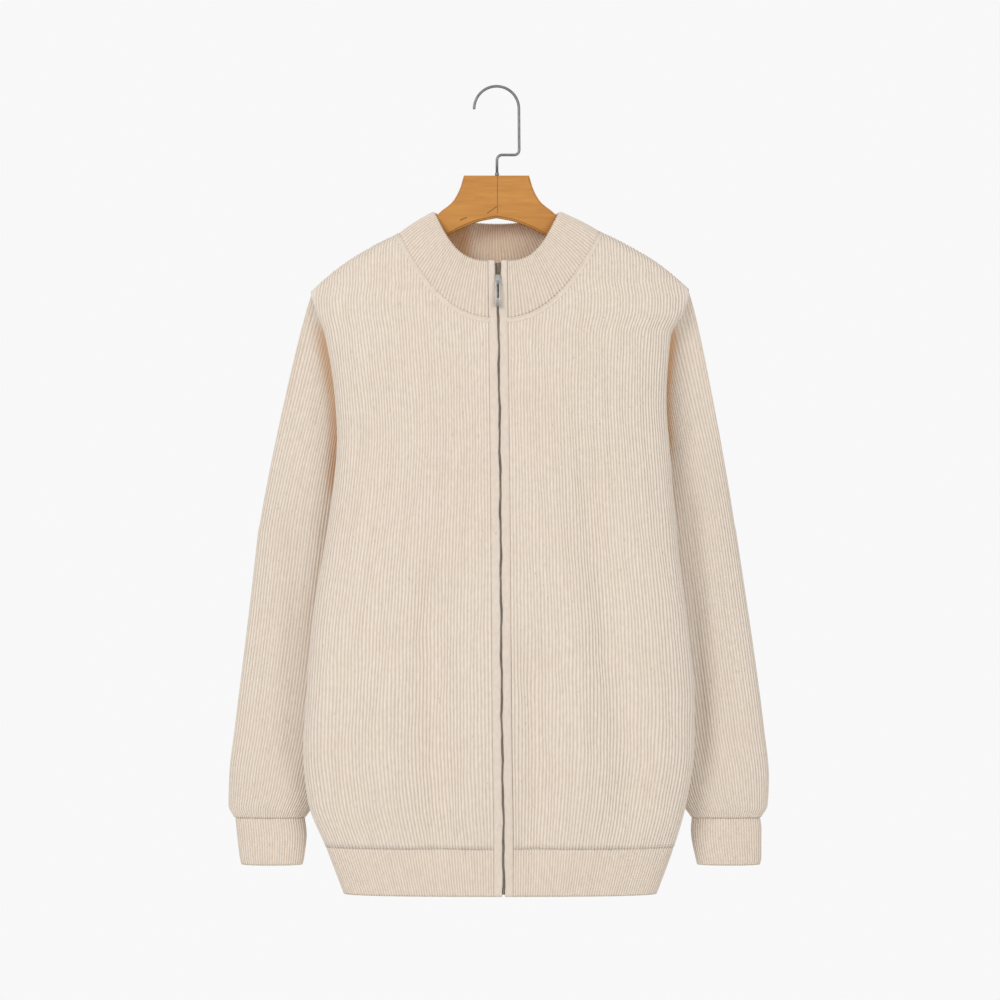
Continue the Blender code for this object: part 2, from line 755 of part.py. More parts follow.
def sleeve_grid(loop, side):
    """Points of a sleeve: rows from the armhole to the cuff, columns round the arm.

    Also gives the panels' normals at the armhole, for the sleeve's first row.
    """
    count = 2 * SLEEVE_RIBS
    edge = np.array([place for place, _, _ in loop])
    ways = np.array([way for _, way, _ in loop])
    normals = np.array([normal for _, _, normal in loop])
    steps = np.linalg.norm(np.diff(edge, axis=0), axis=1)
    lengths = np.concatenate(([0.0], np.cumsum(steps)))
    total = lengths[-1]
    places = spread_round(lengths[:-1], total, count)
    first = oval_ring(side, SLEEVE, SLEEVE_LEVELS[0], count)
    starts, column_ways, edge_normals = (
        np.array([np.interp(places, lengths, values[:, k]) for k in range(3)]).T
        for values in (edge, ways, normals)
    )
    column_ways = smoothed_round(column_ways, 4)
    edge_normals /= np.linalg.norm(edge_normals, axis=1, keepdims=True)
    cap = []
    for column in range(count):
        way = unit(column_ways[column])
        start = starts[column] + way * SLEEVE_JOINT_GAP
        under = under_share(column / count)
        drop = CAP_DROP + (UNDERARM_DROP - CAP_DROP) * under
        end = first[column]
        leave = start + way * (CAP_TANGENT + (UNDERARM_TANGENT - CAP_TANGENT) * under)
        lean = side * drop * CAP_LEAN * (1.0 - under)
        arrive = end + np.array([-lean, 0.0, drop])
        path = []
        for t in CAP_STEPS:
            rest = 1.0 - t
            path.append(
                start * rest**3 + leave * 3 * t * rest**2 + arrive * 3 * t**2 * rest + end * t**3
            )
        cap.append(path)
    cap_rows = np.array(cap).transpose(1, 0, 2)
    cap_rows[1:] = smoothed_round(cap_rows[1:], 2)
    lower = np.array([oval_ring(side, SLEEVE, level, count) for level in SLEEVE_LEVELS])
    return np.concatenate((cap_rows, lower), axis=0), edge_normals


def sleeve_fullness(rows, count):
    """How thick the sleeve's cloth is at each point: thinner where it turns under the arm."""
    under = np.array([under_share(column / count) for column in range(count)])
    cap = np.clip(len(CAP_STEPS) + 1.0 - np.arange(rows), 0.0, 2.0) / 2.0
    return 1.0 - UNDERARM_THINNING * (cap[:, None] * under[None, :])[:, :, None]


def make_sleeves(fronts, back, back_normals):
    for name, side in (("sleeve_left", LEFT), ("sleeve_right", RIGHT)):
        front, front_normals = fronts[side]
        loop = armhole_loop(front, front_normals, back, back_normals, side)
        points, edge_normals = sleeve_grid(loop, side)
        normals = smoothed_round(cloth_normals(points, True, side), 2)
        normals[0] = edge_normals
        normals[1] = (normals[0] + normals[2]) / 2.0
        normals /= np.linalg.norm(normals, axis=2, keepdims=True)
        count = points.shape[1]
        under = range(count // 2 - UNDERARM_DENSE, count // 2 + UNDERARM_DENSE + 1, 2)
        fullness = sleeve_fullness(points.shape[0], count)
        ribbed_wall(
            name,
            ribbed(points, normals, RIB_HEIGHT * fullness),
            points - normals * CLOTH_WALL * fullness,
            "oatmeal_knit",
            closed=True,
            inner_columns=set(range(0, count, INNER_STEP)) | set(under),
        )


def make_cuffs():
    count = 2 * CUFF_RIBS
    for name, side in (("cuff_left", LEFT), ("cuff_right", RIGHT)):
        points = np.array([oval_ring(side, CUFF, row[0], count) for row in CUFF_RINGS])
        normals = cloth_normals(points, True, side)
        ribbed_wall(
            name,
            ribbed(points, normals),
            points - normals * CLOTH_WALL,
            "oatmeal_rib",
            closed=True,
            inner_columns=range(0, count, INNER_STEP),
        )


def body_surface(x, height, front):
    """The y of the body's cloth at a place near its middle."""
    side = LEFT if x < ZIP_X(height) else RIGHT
    points, _, _ = ring_lengths(side, height)
    wall = points[:RING_STEPS] if front else points[RING_STEPS:]
    order = np.argsort(wall[:, 0])
    return float(np.interp(x, wall[order, 0], wall[order, 1]))


def collar_seam(angle):
    """The neck seam round the neck: angle 0 is the front middle, pi the back middle."""
    x = NECK_MIDDLE + NECK_HALF_WIDTH * math.sin(angle)
    front = abs(angle) <= math.pi / 2
    height = neck_height(x, *(FRONT_NECK if front else BACK_NECK)) + NECK_GAP
    return np.array([x, body_surface(x, height, front), height])


def collar_rim(angle):
    """The collar's folded top edge."""
    facing = abs(math.cos(angle))
    x = RIM_HALF_WIDTH * math.sin(angle)
    if abs(angle) <= math.pi / 2:
        sag = 1.0 - (1.0 - facing**RIM_SAG_INNER) ** RIM_SAG_OUTER
        return np.array([x, -RIM_FRONT * facing, RIM_TOP - RIM_DROP_FRONT * sag])
    return np.array([x, RIM_BACK * facing, RIM_TOP - RIM_DROP_BACK * facing * facing])


def collar_place(angle, share):
    """A point of the collar, from its seam at 0 to its rim at 1."""
    low = collar_seam(angle)
    high = collar_rim(angle)
    out = np.array([math.sin(angle), -math.cos(angle), 0.0])
    return low + (high - low) * share + out * COLLAR_BULGE * math.sin(share * math.pi)


def collar_turn(round_place):
    """The collar's angle at a place on the way from the zip round the left side, 0 to 2 pi."""
    return -round_place if round_place <= math.pi else 2 * math.pi - round_place


def collar_grid():
    """Rows from the seam up, columns from the zip's left edge round the back to its right."""
    count = 2 * COLLAR_RIBS
    dense = np.linspace(0.0, 2 * math.pi, COLLAR_STEPS)
    middle = np.array([collar_place(collar_turn(place), COLLAR_MIDDLE) for place in dense])
    steps = np.linalg.norm(np.diff(middle, axis=0), axis=1)
    lengths = np.concatenate(([0.0], np.cumsum(steps)))
    places = np.linspace(FRONT_EDGE, lengths[-1] - FRONT_EDGE, count + 1)
    angles = [collar_turn(place) for place in np.interp(places, lengths, dense)]
    fade = np.clip(1.0 - np.arange(count + 1) / (count * COLLAR_EDGE_SHARE), 0.0, 1.0)
    rows = []
    for share in COLLAR_ROWS:
        row = np.array([collar_place(angle, share) for angle in angles])
        zip_x = ZIP_X(collar_place(0.0, share)[2])
        left_shift = zip_x - FRONT_EDGE - row[0, 0]
        right_shift = zip_x + FRONT_EDGE - row[-1, 0]
        row[:, 0] += left_shift * fade + right_shift * fade[::-1]
        rows.append(row)
    return np.array(rows)


def make_collar():
    points = collar_grid()
    normals = cloth_normals(points, False, LEFT)
    ribbed_wall(
        "collar",
        ribbed(points, normals),
        points - normals * COLLAR_WALL,
        "oatmeal_rib",
        inner_columns=inner_columns_of(2 * COLLAR_RIBS),
    )


def centre_front(height):
    """The y of the cloth beside the zip at a height, on the body or on the collar."""
    seam = collar_seam(0.0)
    rim = collar_rim(0.0)
    if height <= seam[2]:
        return body_surface(ZIP_X(height), height, True)
    share = (height - seam[2]) / (rim[2] - seam[2])
    return float(collar_place(0.0, min(share, 1.0))[1])


def strip_along_zip(name, side, near, far, front_offset, thick, top, bottom, slot):
    """A flat strip beside the zip line, from its top height to its bottom one."""
    builder = bmesh.new()
    rings = []
    for i in range(PLACKET_LEVELS + 1):
        height = bottom + (top - bottom) * i / PLACKET_LEVELS
        zip_x = ZIP_X(height)
        front = centre_front(height) + front_offset
        corners = (
            (zip_x + side * near, front, height),
            (zip_x + side * far, front, height),
            (zip_x + side * far, front + thick, height),
            (zip_x + side * near, front + thick, height),
        )
        rings.append([builder.verts.new(corner) for corner in corners])
    for low, high in zip(rings, rings[1:]):
        for k in range(4):
            builder.faces.new((low[k], low[(k + 1) % 4], high[(k + 1) % 4], high[k]))
    builder.faces.new(rings[0])
    builder.faces.new(rings[-1])
    object_from_mesh(name, builder, slot)


def make_zip_strips():
    rim = collar_rim(0.0)[2]
    for word, side in (("left", LEFT), ("right", RIGHT)):
        strip_along_zip(
            "placket_" + word,
            side,
            ZIP_HALF_GAP,
            ZIP_HALF_GAP + PLACKET_WIDTH,
            -PLACKET_PROUD,
            PLACKET_THICK,
            rim,
            HEM_BOTTOM,
            "oatmeal_knit",
        )
        strip_along_zip(
            "zip_tape_" + word,
            side,
            TAPE_START,
            TAPE_START + TAPE_WIDTH,
            PLACKET_THICK - PLACKET_PROUD + SEAM_GAP,
            TAPE_THICK,
            rim - TAPE_SHORT,
            HEM_BOTTOM + TAPE_SHORT,
            "zip_tape",
        )


def block(name, centre, size, slot):
    """A plain box, placed and sized in millimetres."""
    builder = bmesh.new()
    bmesh.ops.create_cube(builder, size=1.0)
    bmesh.ops.scale(builder, vec=size, verts=builder.verts)
    bmesh.ops.translate(builder, vec=centre, verts=builder.verts)
    return object_from_mesh(name, builder, slot)


def join_block(target, other):
    """Joins another object to the target. The other one is left out of the model."""
    modifier = target.modifiers.new(other.name, "BOOLEAN")
    modifier.operation = "UNION"
    modifier.solver = "EXACT"
    modifier.object = other
    other.hide_render = True
    other.display_type = "WIRE"


def slider_front():
    """The y of the slider's front face."""
    upper = centre_front(SLIDER_LEVEL + SLIDER_LENGTH / 2)
    lower = centre_front(SLIDER_LEVEL - SLIDER_LENGTH / 2)
    return min(upper, lower) - PLACKET_PROUD - SLIDER_CLEARANCE - SLIDER_PLATE


def make_slider():
    x = ZIP_X(SLIDER_LEVEL)
    face = slider_front()
    middle = bridge_middle()
    plate_y = face + SLIDER_PLATE / 2
    neck_y = face + SLIDER_PLATE - SLIDER_LAP + SLIDER_NECK_DEPTH / 2
    bar_y = face - BRIDGE_EYE - BRIDGE_THICK / 2
    leg_front = bar_y + BRIDGE_THICK / 2 - SLIDER_LAP
    leg_back = face + BRIDGE_LEG_LAP
    leg_apart = (BRIDGE_LENGTH - BRIDGE_THICK) / 2
    plate_size = (SLIDER_WIDTH, SLIDER_PLATE, SLIDER_LENGTH)
    neck_size = (ZIP_HALF_GAP, SLIDER_NECK_DEPTH, SLIDER_LENGTH * SLIDER_NECK_SHARE)
    bar_size = (BRIDGE_WIDTH, BRIDGE_THICK, BRIDGE_LENGTH)
    leg_size = (BRIDGE_LEG_WIDTH, leg_back - leg_front, BRIDGE_LEG_THICK)
    leg_y = (leg_front + leg_back) / 2
    slider = block("zip_slider", (x, plate_y, SLIDER_LEVEL), plate_size, "zip_metal")
    for name, centre, size in (
        ("slider_neck", (x, neck_y, SLIDER_LEVEL), neck_size),
        ("slider_bar", (x, bar_y, middle), bar_size),
        ("slider_upper_leg", (x, leg_y, middle + leg_apart), leg_size),
        ("slider_lower_leg", (x, leg_y, middle - leg_apart), leg_size),
    ):
        join_block(slider, block(name, centre, size, "zip_metal"))


def bridge_middle():
    """The height of the middle of the bridge that holds the pull tab."""
    return SLIDER_LEVEL - SLIDER_LENGTH / 2 + BRIDGE_LENGTH / 2 + BRIDGE_OFFSET


def pull_axis():
    """The line that the pull tab turns about, inside the slider's bridge."""
    return np.array([ZIP_X(SLIDER_LEVEL), slider_front() - BRIDGE_EYE / 2, bridge_middle()])


def rounded_outline(half_width, top, bottom, radius):
    """The points of a rounded rectangle in the plane of the tab."""
    points = []
    corners = (
        (half_width - radius, top - radius, 0.0),
        (-half_width + radius, top - radius, math.pi / 2),
        (-half_width + radius, bottom + radius, math.pi),
        (half_width - radius, bottom + radius, 1.5 * math.pi),
    )
    for x, z, start in corners:
        for i in range(TAB_CORNER_STEPS + 1):
            angle = start + math.pi / 2 * i / TAB_CORNER_STEPS
            points.append((x + radius * math.cos(angle), z + radius * math.sin(angle)))
    return points


def make_pull_tab():
    """A flat tab with a slot, hung by the bar above the slot."""
    edge = rounded_outline(TAB_WIDTH / 2, TAB_EDGE, TAB_EDGE - TAB_LENGTH, TAB_CORNER)
    slot_bottom = -TAB_EDGE - TAB_SLOT_LENGTH
    slot = rounded_outline(TAB_SLOT_WIDTH / 2, -TAB_EDGE, slot_bottom, TAB_SLOT_CORNER)
    builder = bmesh.new()

    def layer(outline, y):
        return [builder.verts.new((x, y, z)) for x, z in outline]

    front_edge = layer(edge, -TAB_THICK / 2)
    back_edge = layer(edge, TAB_THICK / 2)
    front_slot = layer(slot, -TAB_THICK / 2)
    back_slot = layer(slot, TAB_THICK / 2)
    count = len(edge)
    for first, second in (
        (front_edge, back_edge),
        (front_slot, back_slot),
        (front_edge, front_slot),
        (back_edge, back_slot),
    ):
        for k in range(count):
            n = (k + 1) % count
            builder.faces.new((first[k], first[n], second[n], second[k]))
    tab = object_from_mesh("zip_pull_tab", builder, "zip_metal")
    tab.location = pull_axis() * MM


def make_hanger_wood():
    """The hanger's flat outline, cut from board and rounded along its edges."""
    upper = curve_through(((HANGER_TOP_HALF, HANGER_TOP),) + HANGER_UPPER_EDGE, 0, 1)
    lower = curve_through(HANGER_LOWER_EDGE, 0, 1)
    upper_x = np.linspace(HANGER_TOP_HALF, HANGER_UPPER_EDGE[-1][0], HANGER_UPPER_STEPS + 1)
    lower_x = np.linspace(HANGER_LOWER_EDGE[0][0], 0.0, HANGER_LOWER_STEPS + 1)
    right = [(x, upper(x)) for x in upper_x] + [HANGER_TIP] + [(x, lower(x)) for x in lower_x]
    left = [(-x, z) for x, z in reversed(right[:-1])]
    outline = right + left
    builder = bmesh.new()
    verts = [builder.verts.new((x, -HANGER_THICK / 2, z)) for x, z in outline]
    face = builder.faces.new(verts)
    grown = bmesh.ops.extrude_face_region(builder, geom=[face])
    moved = [item for item in grown["geom"] if isinstance(item, bmesh.types.BMVert)]
    bmesh.ops.translate(builder, vec=(0.0, HANGER_THICK, 0.0), verts=moved)
    wood = object_from_mesh("hanger_wood", builder, "wood")
    bevel = wood.modifiers.new("rounded_edges", "BEVEL")
    bevel.width = HANGER_BEVEL * MM
    bevel.segments = 2
    bevel.limit_method = "ANGLE"
    bevel.angle_limit = math.radians(HANGER_BEVEL_ANGLE)


def fillet(corner, before, after):
    """Points round a right-angled corner of the wire."""
    corner = np.array(corner)
    start = corner + unit(np.array(before) - corner) * HOOK_CORNER
    end = corner + unit(np.array(after) - corner) * HOOK_CORNER
    centre = start + end - corner
    points = []
    for i in range(HOOK_CORNER_STEPS + 1):
        angle = math.pi / 2 * i / HOOK_CORNER_STEPS
        points.append(centre + (start - centre) * math.cos(angle) + (end - centre) * math.sin(angle))
    return points


def make_hook():
    centre_z = -(HOOK_RADIUS - WIRE / 2)
    route = []
    for i in range(HOOK_STEPS + 1):
        angle = math.pi * (1.0 - i / HOOK_STEPS)
        across = HOOK_RADIUS * math.cos(angle)
        up = HOOK_RADIUS * math.sin(angle)
        route.append(np.array([across, centre_z + up]))
    shank = (HOOK_SHANK_X, HOOK_STEP)
    stem = (HOOK_STEM_X, HOOK_STEP)
    route += fillet(shank, (HOOK_SHANK_X, centre_z), stem)
    route += fillet(stem, shank, (HOOK_STEM_X, HANGER_TOP))
    route.append(np.array([HOOK_STEM_X, HANGER_TOP + SEAM_GAP]))
    curve = bpy.data.curves.new("hanger_hook", "CURVE")
    curve.dimensions = "3D"
    curve.bevel_depth = WIRE / 2 * MM
    curve.bevel_resolution = 2
    curve.use_fill_caps = True
    spline = curve.splines.new("POLY")
    spline.points.add(len(route) - 1)
    for point, place in zip(spline.points, route):
        point.co = (place[0] * MM, 0.0, place[1] * MM, 1.0)
    curve.materials.append(material("hook_steel"))
    hook = bpy.data.objects.new("hanger_hook", curve)
    bpy.context.scene.collection.objects.link(hook)


def main():
    clear_scene()
    fronts = {}
    for name, side in (("front_left", LEFT), ("front_right", RIGHT)):
        fronts[side] = make_front(name, side)
    back, back_normals = make_back()
    make_sleeves(fronts, back, back_normals)
    make_cuffs()
    make_hems()
    make_collar()
    make_zip_strips()
    make_slider()
    make_pull_tab()
    make_hanger_wood()
    make_hook()


main()
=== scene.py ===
"""The looks of a full-zip ribbed sweater on a wooden hanger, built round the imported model.

Sizes are in millimetres in the frame's own axes and become metres as each mesh is made: +Z
is up, the front faces -Y, left is the viewer's left, and the origin is inside the top of the
hook. The cloth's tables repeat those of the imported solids, so each shell lies on its solid.
"""

import functools
import math

import bmesh
import bpy
import numpy as np
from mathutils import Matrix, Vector


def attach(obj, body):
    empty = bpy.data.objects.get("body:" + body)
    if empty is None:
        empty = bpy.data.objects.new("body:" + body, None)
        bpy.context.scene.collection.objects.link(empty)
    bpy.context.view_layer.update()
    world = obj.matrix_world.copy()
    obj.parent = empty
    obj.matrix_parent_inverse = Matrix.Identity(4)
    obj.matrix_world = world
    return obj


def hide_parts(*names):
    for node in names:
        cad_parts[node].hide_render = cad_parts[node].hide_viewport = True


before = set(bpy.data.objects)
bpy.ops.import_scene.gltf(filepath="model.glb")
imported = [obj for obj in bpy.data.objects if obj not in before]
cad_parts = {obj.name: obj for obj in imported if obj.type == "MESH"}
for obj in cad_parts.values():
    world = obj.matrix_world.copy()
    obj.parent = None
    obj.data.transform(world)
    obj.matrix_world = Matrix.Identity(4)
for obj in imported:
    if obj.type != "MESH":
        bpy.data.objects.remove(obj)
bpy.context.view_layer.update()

MM = 0.001
LEFT = -1
RIGHT = 1
BODY = "garment"

# Cloth: its wall, and its ribs as raised lines of stitches
CLOTH_WALL = 1.9
SEAM_GAP = 0.35
SEAM_TOUCH = 0.06
RIB_COLUMNS = 6
RIB_HEIGHT = 1.15
BAND_SHARE = 0.8
RIB_ROUND = 0.65
RIB_STRENGTH = (0.82, 1.08)
RIB_SWELL = 0.08
RIB_SWELL_ROWS = 9.0
RIB_WANDER = 0.096
WANDER_WAVES = (37.0, 23.0, 13.0, 7.0)
WANDER_EDGE = 0.04
SHOULDER_STEADY = 8.0
ARM_RIBS = 58
SIDE_RIBS = 4
SLEEVE_RIBS = 78
CUFF_RIBS = 62
HEM_RIBS = 68
COLLAR_RIBS = 144
STITCH = 2.3
ARM_BAND = (0.5, 2.4)
ARM_BAND_ROWS = 10.0
BAND_RISE = 0.72
SEAM_FLAT = 0.8

# Levels
HEM_SEAM = -803.8
HEM_BOTTOM = -853.6
BACK_HEM_DROP = 2.0
ARMHOLE_TURN = -405.0
UNDERARM = -428.0
ARM_SHARE = 0.94
BACK_ARM_START = 0.10
SIDE_SEAM_ANGLE = math.pi / 2 + 0.356
LOW_ROWS = 62
HIGH_ROWS = 46
TOP_CROWDING = 1.6
SHOULDER_GUESS = -200.0
SHOULDER_PASSES = 12
CUFF_ROWS = 22
HEM_ROWS = 20
RING_TOP = -128.0
RING_BOTTOM = -858.0
RING_LEVELS = 293
RING_STEPS = 300
SHARE_STEPS = 601

# The body's rings: how far each side, the front and the back reach, and how square it is
BODY_COLUMNS = ("height", "left", "right", "front", "back", "square")
BODY_RINGS = (
    (-120.0, 200.0, 206.0, 36.0, 30.0, 4.0),
    (-210.0, 198.0, 205.0, 36.0, 30.0, 4.0),
    (-238.0, 190.0, 198.0, 36.0, 30.0, 3.8),
    (-262.0, 181.0, 184.0, 36.0, 29.0, 3.4),
    (-331.0, 170.0, 179.0, 37.0, 28.0, 2.8),
    (-372.0, 168.0, 181.5, 38.0, 27.0, 2.6),
    (-416.0, 171.0, 185.0, 39.0, 27.0, 2.6),
    (-490.0, 182.0, 192.0, 41.0, 27.0, 2.6),
    (-570.0, 195.0, 202.0, 42.0, 28.0, 2.6),
    (-650.0, 201.0, 209.0, 42.0, 28.0, 2.6),
    (-700.0, 204.0, 208.5, 41.0, 28.0, 2.6),
    (-755.0, 199.0, 200.5, 38.0, 27.0, 2.6),
    (-804.0, 180.0, 187.0, 33.0, 25.0, 2.6),
    (-856.0, 160.0, 168.0, 29.0, 23.0, 2.6),
)
SHOULDER_MIDDLE = 5.0
SHOULDER_COLUMNS = ("away", "height")
SHOULDER_LINE = (
    (0.0, -132.0),
    (60.0, -140.0),
    (105.0, -154.0),
    (140.0, -171.0),
    (165.0, -186.5),
    (194.0, -210.0),
    (212.0, -228.0),
)
SHOULDER_ROUND = 8.5
DEPTH_REACH = 70.0
BACK_SHARE_COLUMNS = ("height", "share")
ARMHOLE_BACK_SHARE = (
    (-426.0, 0.10),
    (-331.0, 0.10),
    (-285.0, 0.085),
    (-245.0, 0.045),
    (-212.0, 0.012),
)

# Neck and collar
NECK_MIDDLE = 2.6
NECK_HALF_WIDTH = 107.0
NECK_LOW = {"front": -248.0, "back": -192.0}
NECK_POWER = {"front": 2.4, "back": 2.6}
NECK_GAP = 0.8
RIM_HALF_WIDTH = 67.0
RIM_TOP = -131.5
RIM_DROP_FRONT = 55.0
RIM_DROP_BACK = 10.4
RIM_SAG_INNER = 2.2
RIM_SAG_OUTER = 1.6
RIM_DEPTH = {"front": 36.0, "back": 34.0}
COLLAR_WALL = 3.4
COLLAR_BULGE = 2.0
COLLAR_HEIGHT = 60.0
COLLAR_ROWS = 18
COLLAR_FOLD_ROWS = 7
COLLAR_EDGE_SHARE = 0.2
COLLAR_STEPS = 721
COLLAR_SINK = 0.45
# Painted shade on the collar's inside, stronger on its left side
COLLAR_SHADE = 0.34
COLLAR_LEFT_SHADE = 0.85
COLLAR_SHADE_X = -22.0
COLLAR_SHADE_FADE = 14.0

# Folds: where each runs, how wide it is and how far it is pushed in. Negative stands out.
FOLD_COLUMNS = ("x_high", "x_mid", "x_low", "high", "low", "width", "depth")
FRONT_FOLDS = (
    (-139.0, -122.0, -148.0, -290.0, -640.0, 20.0, 5.0),
    (-146.0, -160.0, -166.0, -580.0, -800.0, 18.0, 4.0),
    (-70.0, -64.0, -66.0, -490.0, -840.0, 22.0, 8.0),
    (-118.0, -123.0, -125.0, -590.0, -800.0, 22.0, -3.0),
    (-30.0, -28.0, -28.0, -570.0, -810.0, 18.0, -3.0),
    (38.0, 42.0, 40.0, -560.0, -850.0, 18.0, 6.0),
    (94.0, 122.0, 153.0, -380.0, -800.0, 21.0, 7.0),
    (80.0, 88.0, 97.0, -540.0, -810.0, 20.0, -3.0),
)
BACK_FOLDS = (
    (-120.0, -128.0, -140.0, -330.0, -760.0, 20.0, 5.0),
    (-52.0, -60.0, -70.0, -420.0, -830.0, 22.0, 6.0),
    (18.0, 12.0, 6.0, -480.0, -810.0, 18.0, -4.0),
    (64.0, 70.0, 82.0, -360.0, -840.0, 21.0, 6.0),
    (128.0, 136.0, 148.0, -430.0, -790.0, 18.0, 4.0),
)
FOLD_FADE = 60.0
FOLD_GAIN = 1.3

# Sleeves and cuffs
SLEEVE_COLUMNS = ("height", "left", "right", "left_width", "right_width", "depth", "thick")
SLEEVE_RINGS = (
    (-470.0, 254.5, 256.0, 116.0, 107.0, 38.0, 36.0),
    (-540.0, 262.5, 266.5, 114.5, 108.5, 38.0, 36.0),
    (-610.0, 271.0, 276.5, 114.5, 111.0, 37.0, 37.0),
    (-680.0, 279.5, 285.5, 111.5, 110.5, 36.0, 38.0),
    (-735.0, 285.5, 291.0, 102.5, 102.5, 35.0, 38.0),
    (-764.0, 286.0, 289.5, 89.0, 88.5, 34.0, 36.0),
    (-776.0, 280.0, 282.5, 74.5, 73.0, 33.0, 30.0),
)
CUFF_RINGS = (
    (-776.4, 279.0, 281.5, 72.5, 71.5, 33.0, 28.0),
    (-790.0, 277.6, 283.0, 73.0, 74.0, 33.0, 29.0),
    (-820.0, 274.0, 283.0, 67.0, 69.0, 33.0, 28.0),
    (-827.0, 272.5, 281.5, 64.0, 66.0, 33.0, 26.0),
)
CUFF_TUCK = 0.35
SLEEVE_TOP = -470.0
SLEEVE_BOTTOM = -776.0
SLEEVE_ROWS = 64
SLEEVE_CROWDING = 1.3
CAP_ROWS = 24
CAP_THIN_ROWS = 8.0
SLEEVE_JOINT_GAP = 1.0
CAP_TANGENT = 12.0
CAP_DROP = 62.0
CAP_LEAN = 0.14
UNDERARM_TANGENT = 19.0
UNDERARM_DROP = 52.0
UNDERARM_SPREAD = 0.22
UNDERARM_THINNING = 0.5
OVAL_POWER = 0.85
OVAL_STEPS = 721

# Painted shade, deep and warm: under the arm, and in the recess where the sleeve hangs behind the body
SHADE_SPREAD = 0.26
SHADE_LOW = -560.0
SHADE_FADE = 110.0
SHADE_END = 0.56
SHADE_TURN = 0.07
GAP_START = 0.05
GAP_END = 0.56
GAP_ROWS = 17
GAP_RISE = 5.0
GAP_DEPTH = 2.4
GAP_SHADE = {LEFT: 0.8, RIGHT: 1.0}
GAP_REACH = {LEFT: 17.0, RIGHT: 13.0}
GAP_TOP = -238.0
GAP_LOW = {LEFT: -450.0, RIGHT: -400.0}
GAP_FADE = 30.0
GAP_EDGES = {
    LEFT: ((-416.0, 171.0), (-363.0, 168.0), (-331.0, 170.0), (-240.0, 186.0)),
    RIGHT: ((-415.0, 185.0), (-360.0, 180.0), (-329.0, 178.6), (-252.0, 186.0)),
}
SLEEVE_FOLDS = {
    LEFT: (
        (-212.0, -219.0, -222.0, -440.0, -750.0, 14.0, 4.5),
        (-246.0, -252.0, -258.0, -520.0, -740.0, 12.0, 2.0),
    ),
    RIGHT: (
        (205.0, 216.0, 218.0, -410.0, -750.0, 13.0, 4.5),
        (240.0, 250.0, 258.0, -500.0, -740.0, 12.0, 2.0),
    ),
}
WAY_SMOOTHING = 0.022
NORMAL_SMOOTHING = 0.015

# Zip and plackets
ZIP_COLUMNS = ("height", "x")
ZIP_LINE = (
    (-130.0, 0.6),
    (-302.0, 2.6),
    (-416.0, 3.9),
    (-682.0, 5.8),
    (-804.0, 7.4),
    (-860.0, 7.4),
)
ZIP_HALF_GAP = 1.1
PLACKET_WIDTH = 8.6
PLACKET_PROUD = 0.9
FRONT_EDGE = ZIP_HALF_GAP + PLACKET_WIDTH + SEAM_GAP
PLACKET_CROWN = 0.75
PLACKET_LAP = 0.3
PLACKET_BACK = 1.7
TAPE_START = 0.3
TAPE_WIDTH = 8.0
TAPE_FRONT = 2.05
TAPE_THICK = 0.9
TAPE_SHORT = 2.0
TAPE_WAVE = 0.6
TAPE_COLUMNS = 5
ZIP_WAVE = 0.8

# Small waves along the zip: how far each moves, its length and where it starts
ZIP_WAVES = ((0.42, 11.3, 0.7), (0.26, 4.9, 2.0), (0.12, 2.1, 0.0))
OPENING_WAVES = ((0.2, 8.0, 1.0),)
PLACKET_PUCKERS = ((0.2, 2.9, 1.0), (0.16, 7.3, 2.0))

PLACKET_COLUMNS = 13
PLACKET_RIDGES = (0.34, 0.7)
PLACKET_RIDGE_RISE = 0.2
PLACKET_RIDGE_WIDTH = 0.07
PLACKET_RIDGE_SINK = 0.1
PLACKET_EDGE_SHARE = 0.6
PLACKET_END_SHARE = 0.8
PLACKET_END_RISE = 0.5
PLACKET_STITCH = 2.2
ZIP_ROWS = 260
ZIP_TOP = RIM_TOP - RIM_DROP_FRONT
OPEN_TOP = 3.5
OPEN_SLIDER = 2.7
OPEN_CLOSED = 0.92
OPEN_AT_HEM = 0.35
OPEN_HEM_RISE = 20.0
OPEN_TURN = 9.0
TEETH_STEP = 1.18
TEETH_DEPTH = -0.45
TEETH_FROM_HEM = 3.0
TEETH_BELOW_SLIDER = 4.0
TEETH_ABOVE_SLIDER = 5.2
TEETH_FROM_TOP = 2.4
TEETH_APART = 0.75
TOOTH_SIZE = (1.5, 1.7, 0.92)
TOOTH_OFFSET = 0.36
TOOTH_BEVEL = 0.24

# Slider and pull tab
SLIDER_LEVEL = -206.1
SLIDER_PLATE = 1.3
SLIDER_BEVEL = 0.35
SLIDER_BEHIND = 1.0
SLIDER_WEDGE_BACK = 4.4
SLIDER_WEDGE_BEVEL = 0.15
SLIDER_RAIL_BACK = 2.8
SLIDER_RAIL_BEVEL = 0.12
SLIDER_EYE_HALF = 1.3
SLIDER_WEDGE = ((-0.9, 3.4), (0.9, 3.4), (0.5, -3.4), (-0.5, -3.4))
SLIDER_RAIL = ((2.4, 2.9), (3.0, 2.9), (2.6, -3.6), (2.0, -3.6))
SLIDER_OUTLINE = (
    (0.0, 4.6), (1.2, 5.1), (2.3, 4.8), (3.0, 3.6), (3.1, 0.6), (2.7, -4.6), (2.1, -5.8), (0.0, -6.0),
)
BRIDGE_MIDDLE = SLIDER_LEVEL - 3.2
BRIDGE_HALF = 1.9
BRIDGE_RISE = 3.05
BRIDGE_SQUARE = 0.6
BRIDGE_SINK = 0.6
BRIDGE_STEPS = 17
BRIDGE_SECTION = (
    (0.62, 0.2), (0.45, 0.38), (-0.45, 0.38), (-0.62, 0.2),
    (-0.62, -0.2), (-0.45, -0.38), (0.45, -0.38), (0.62, -0.2),
)
TAB_AXIS = (1.49, -40.28, -209.3)
TAB_WIDTH = 5.7
TAB_LENGTH = 26.0
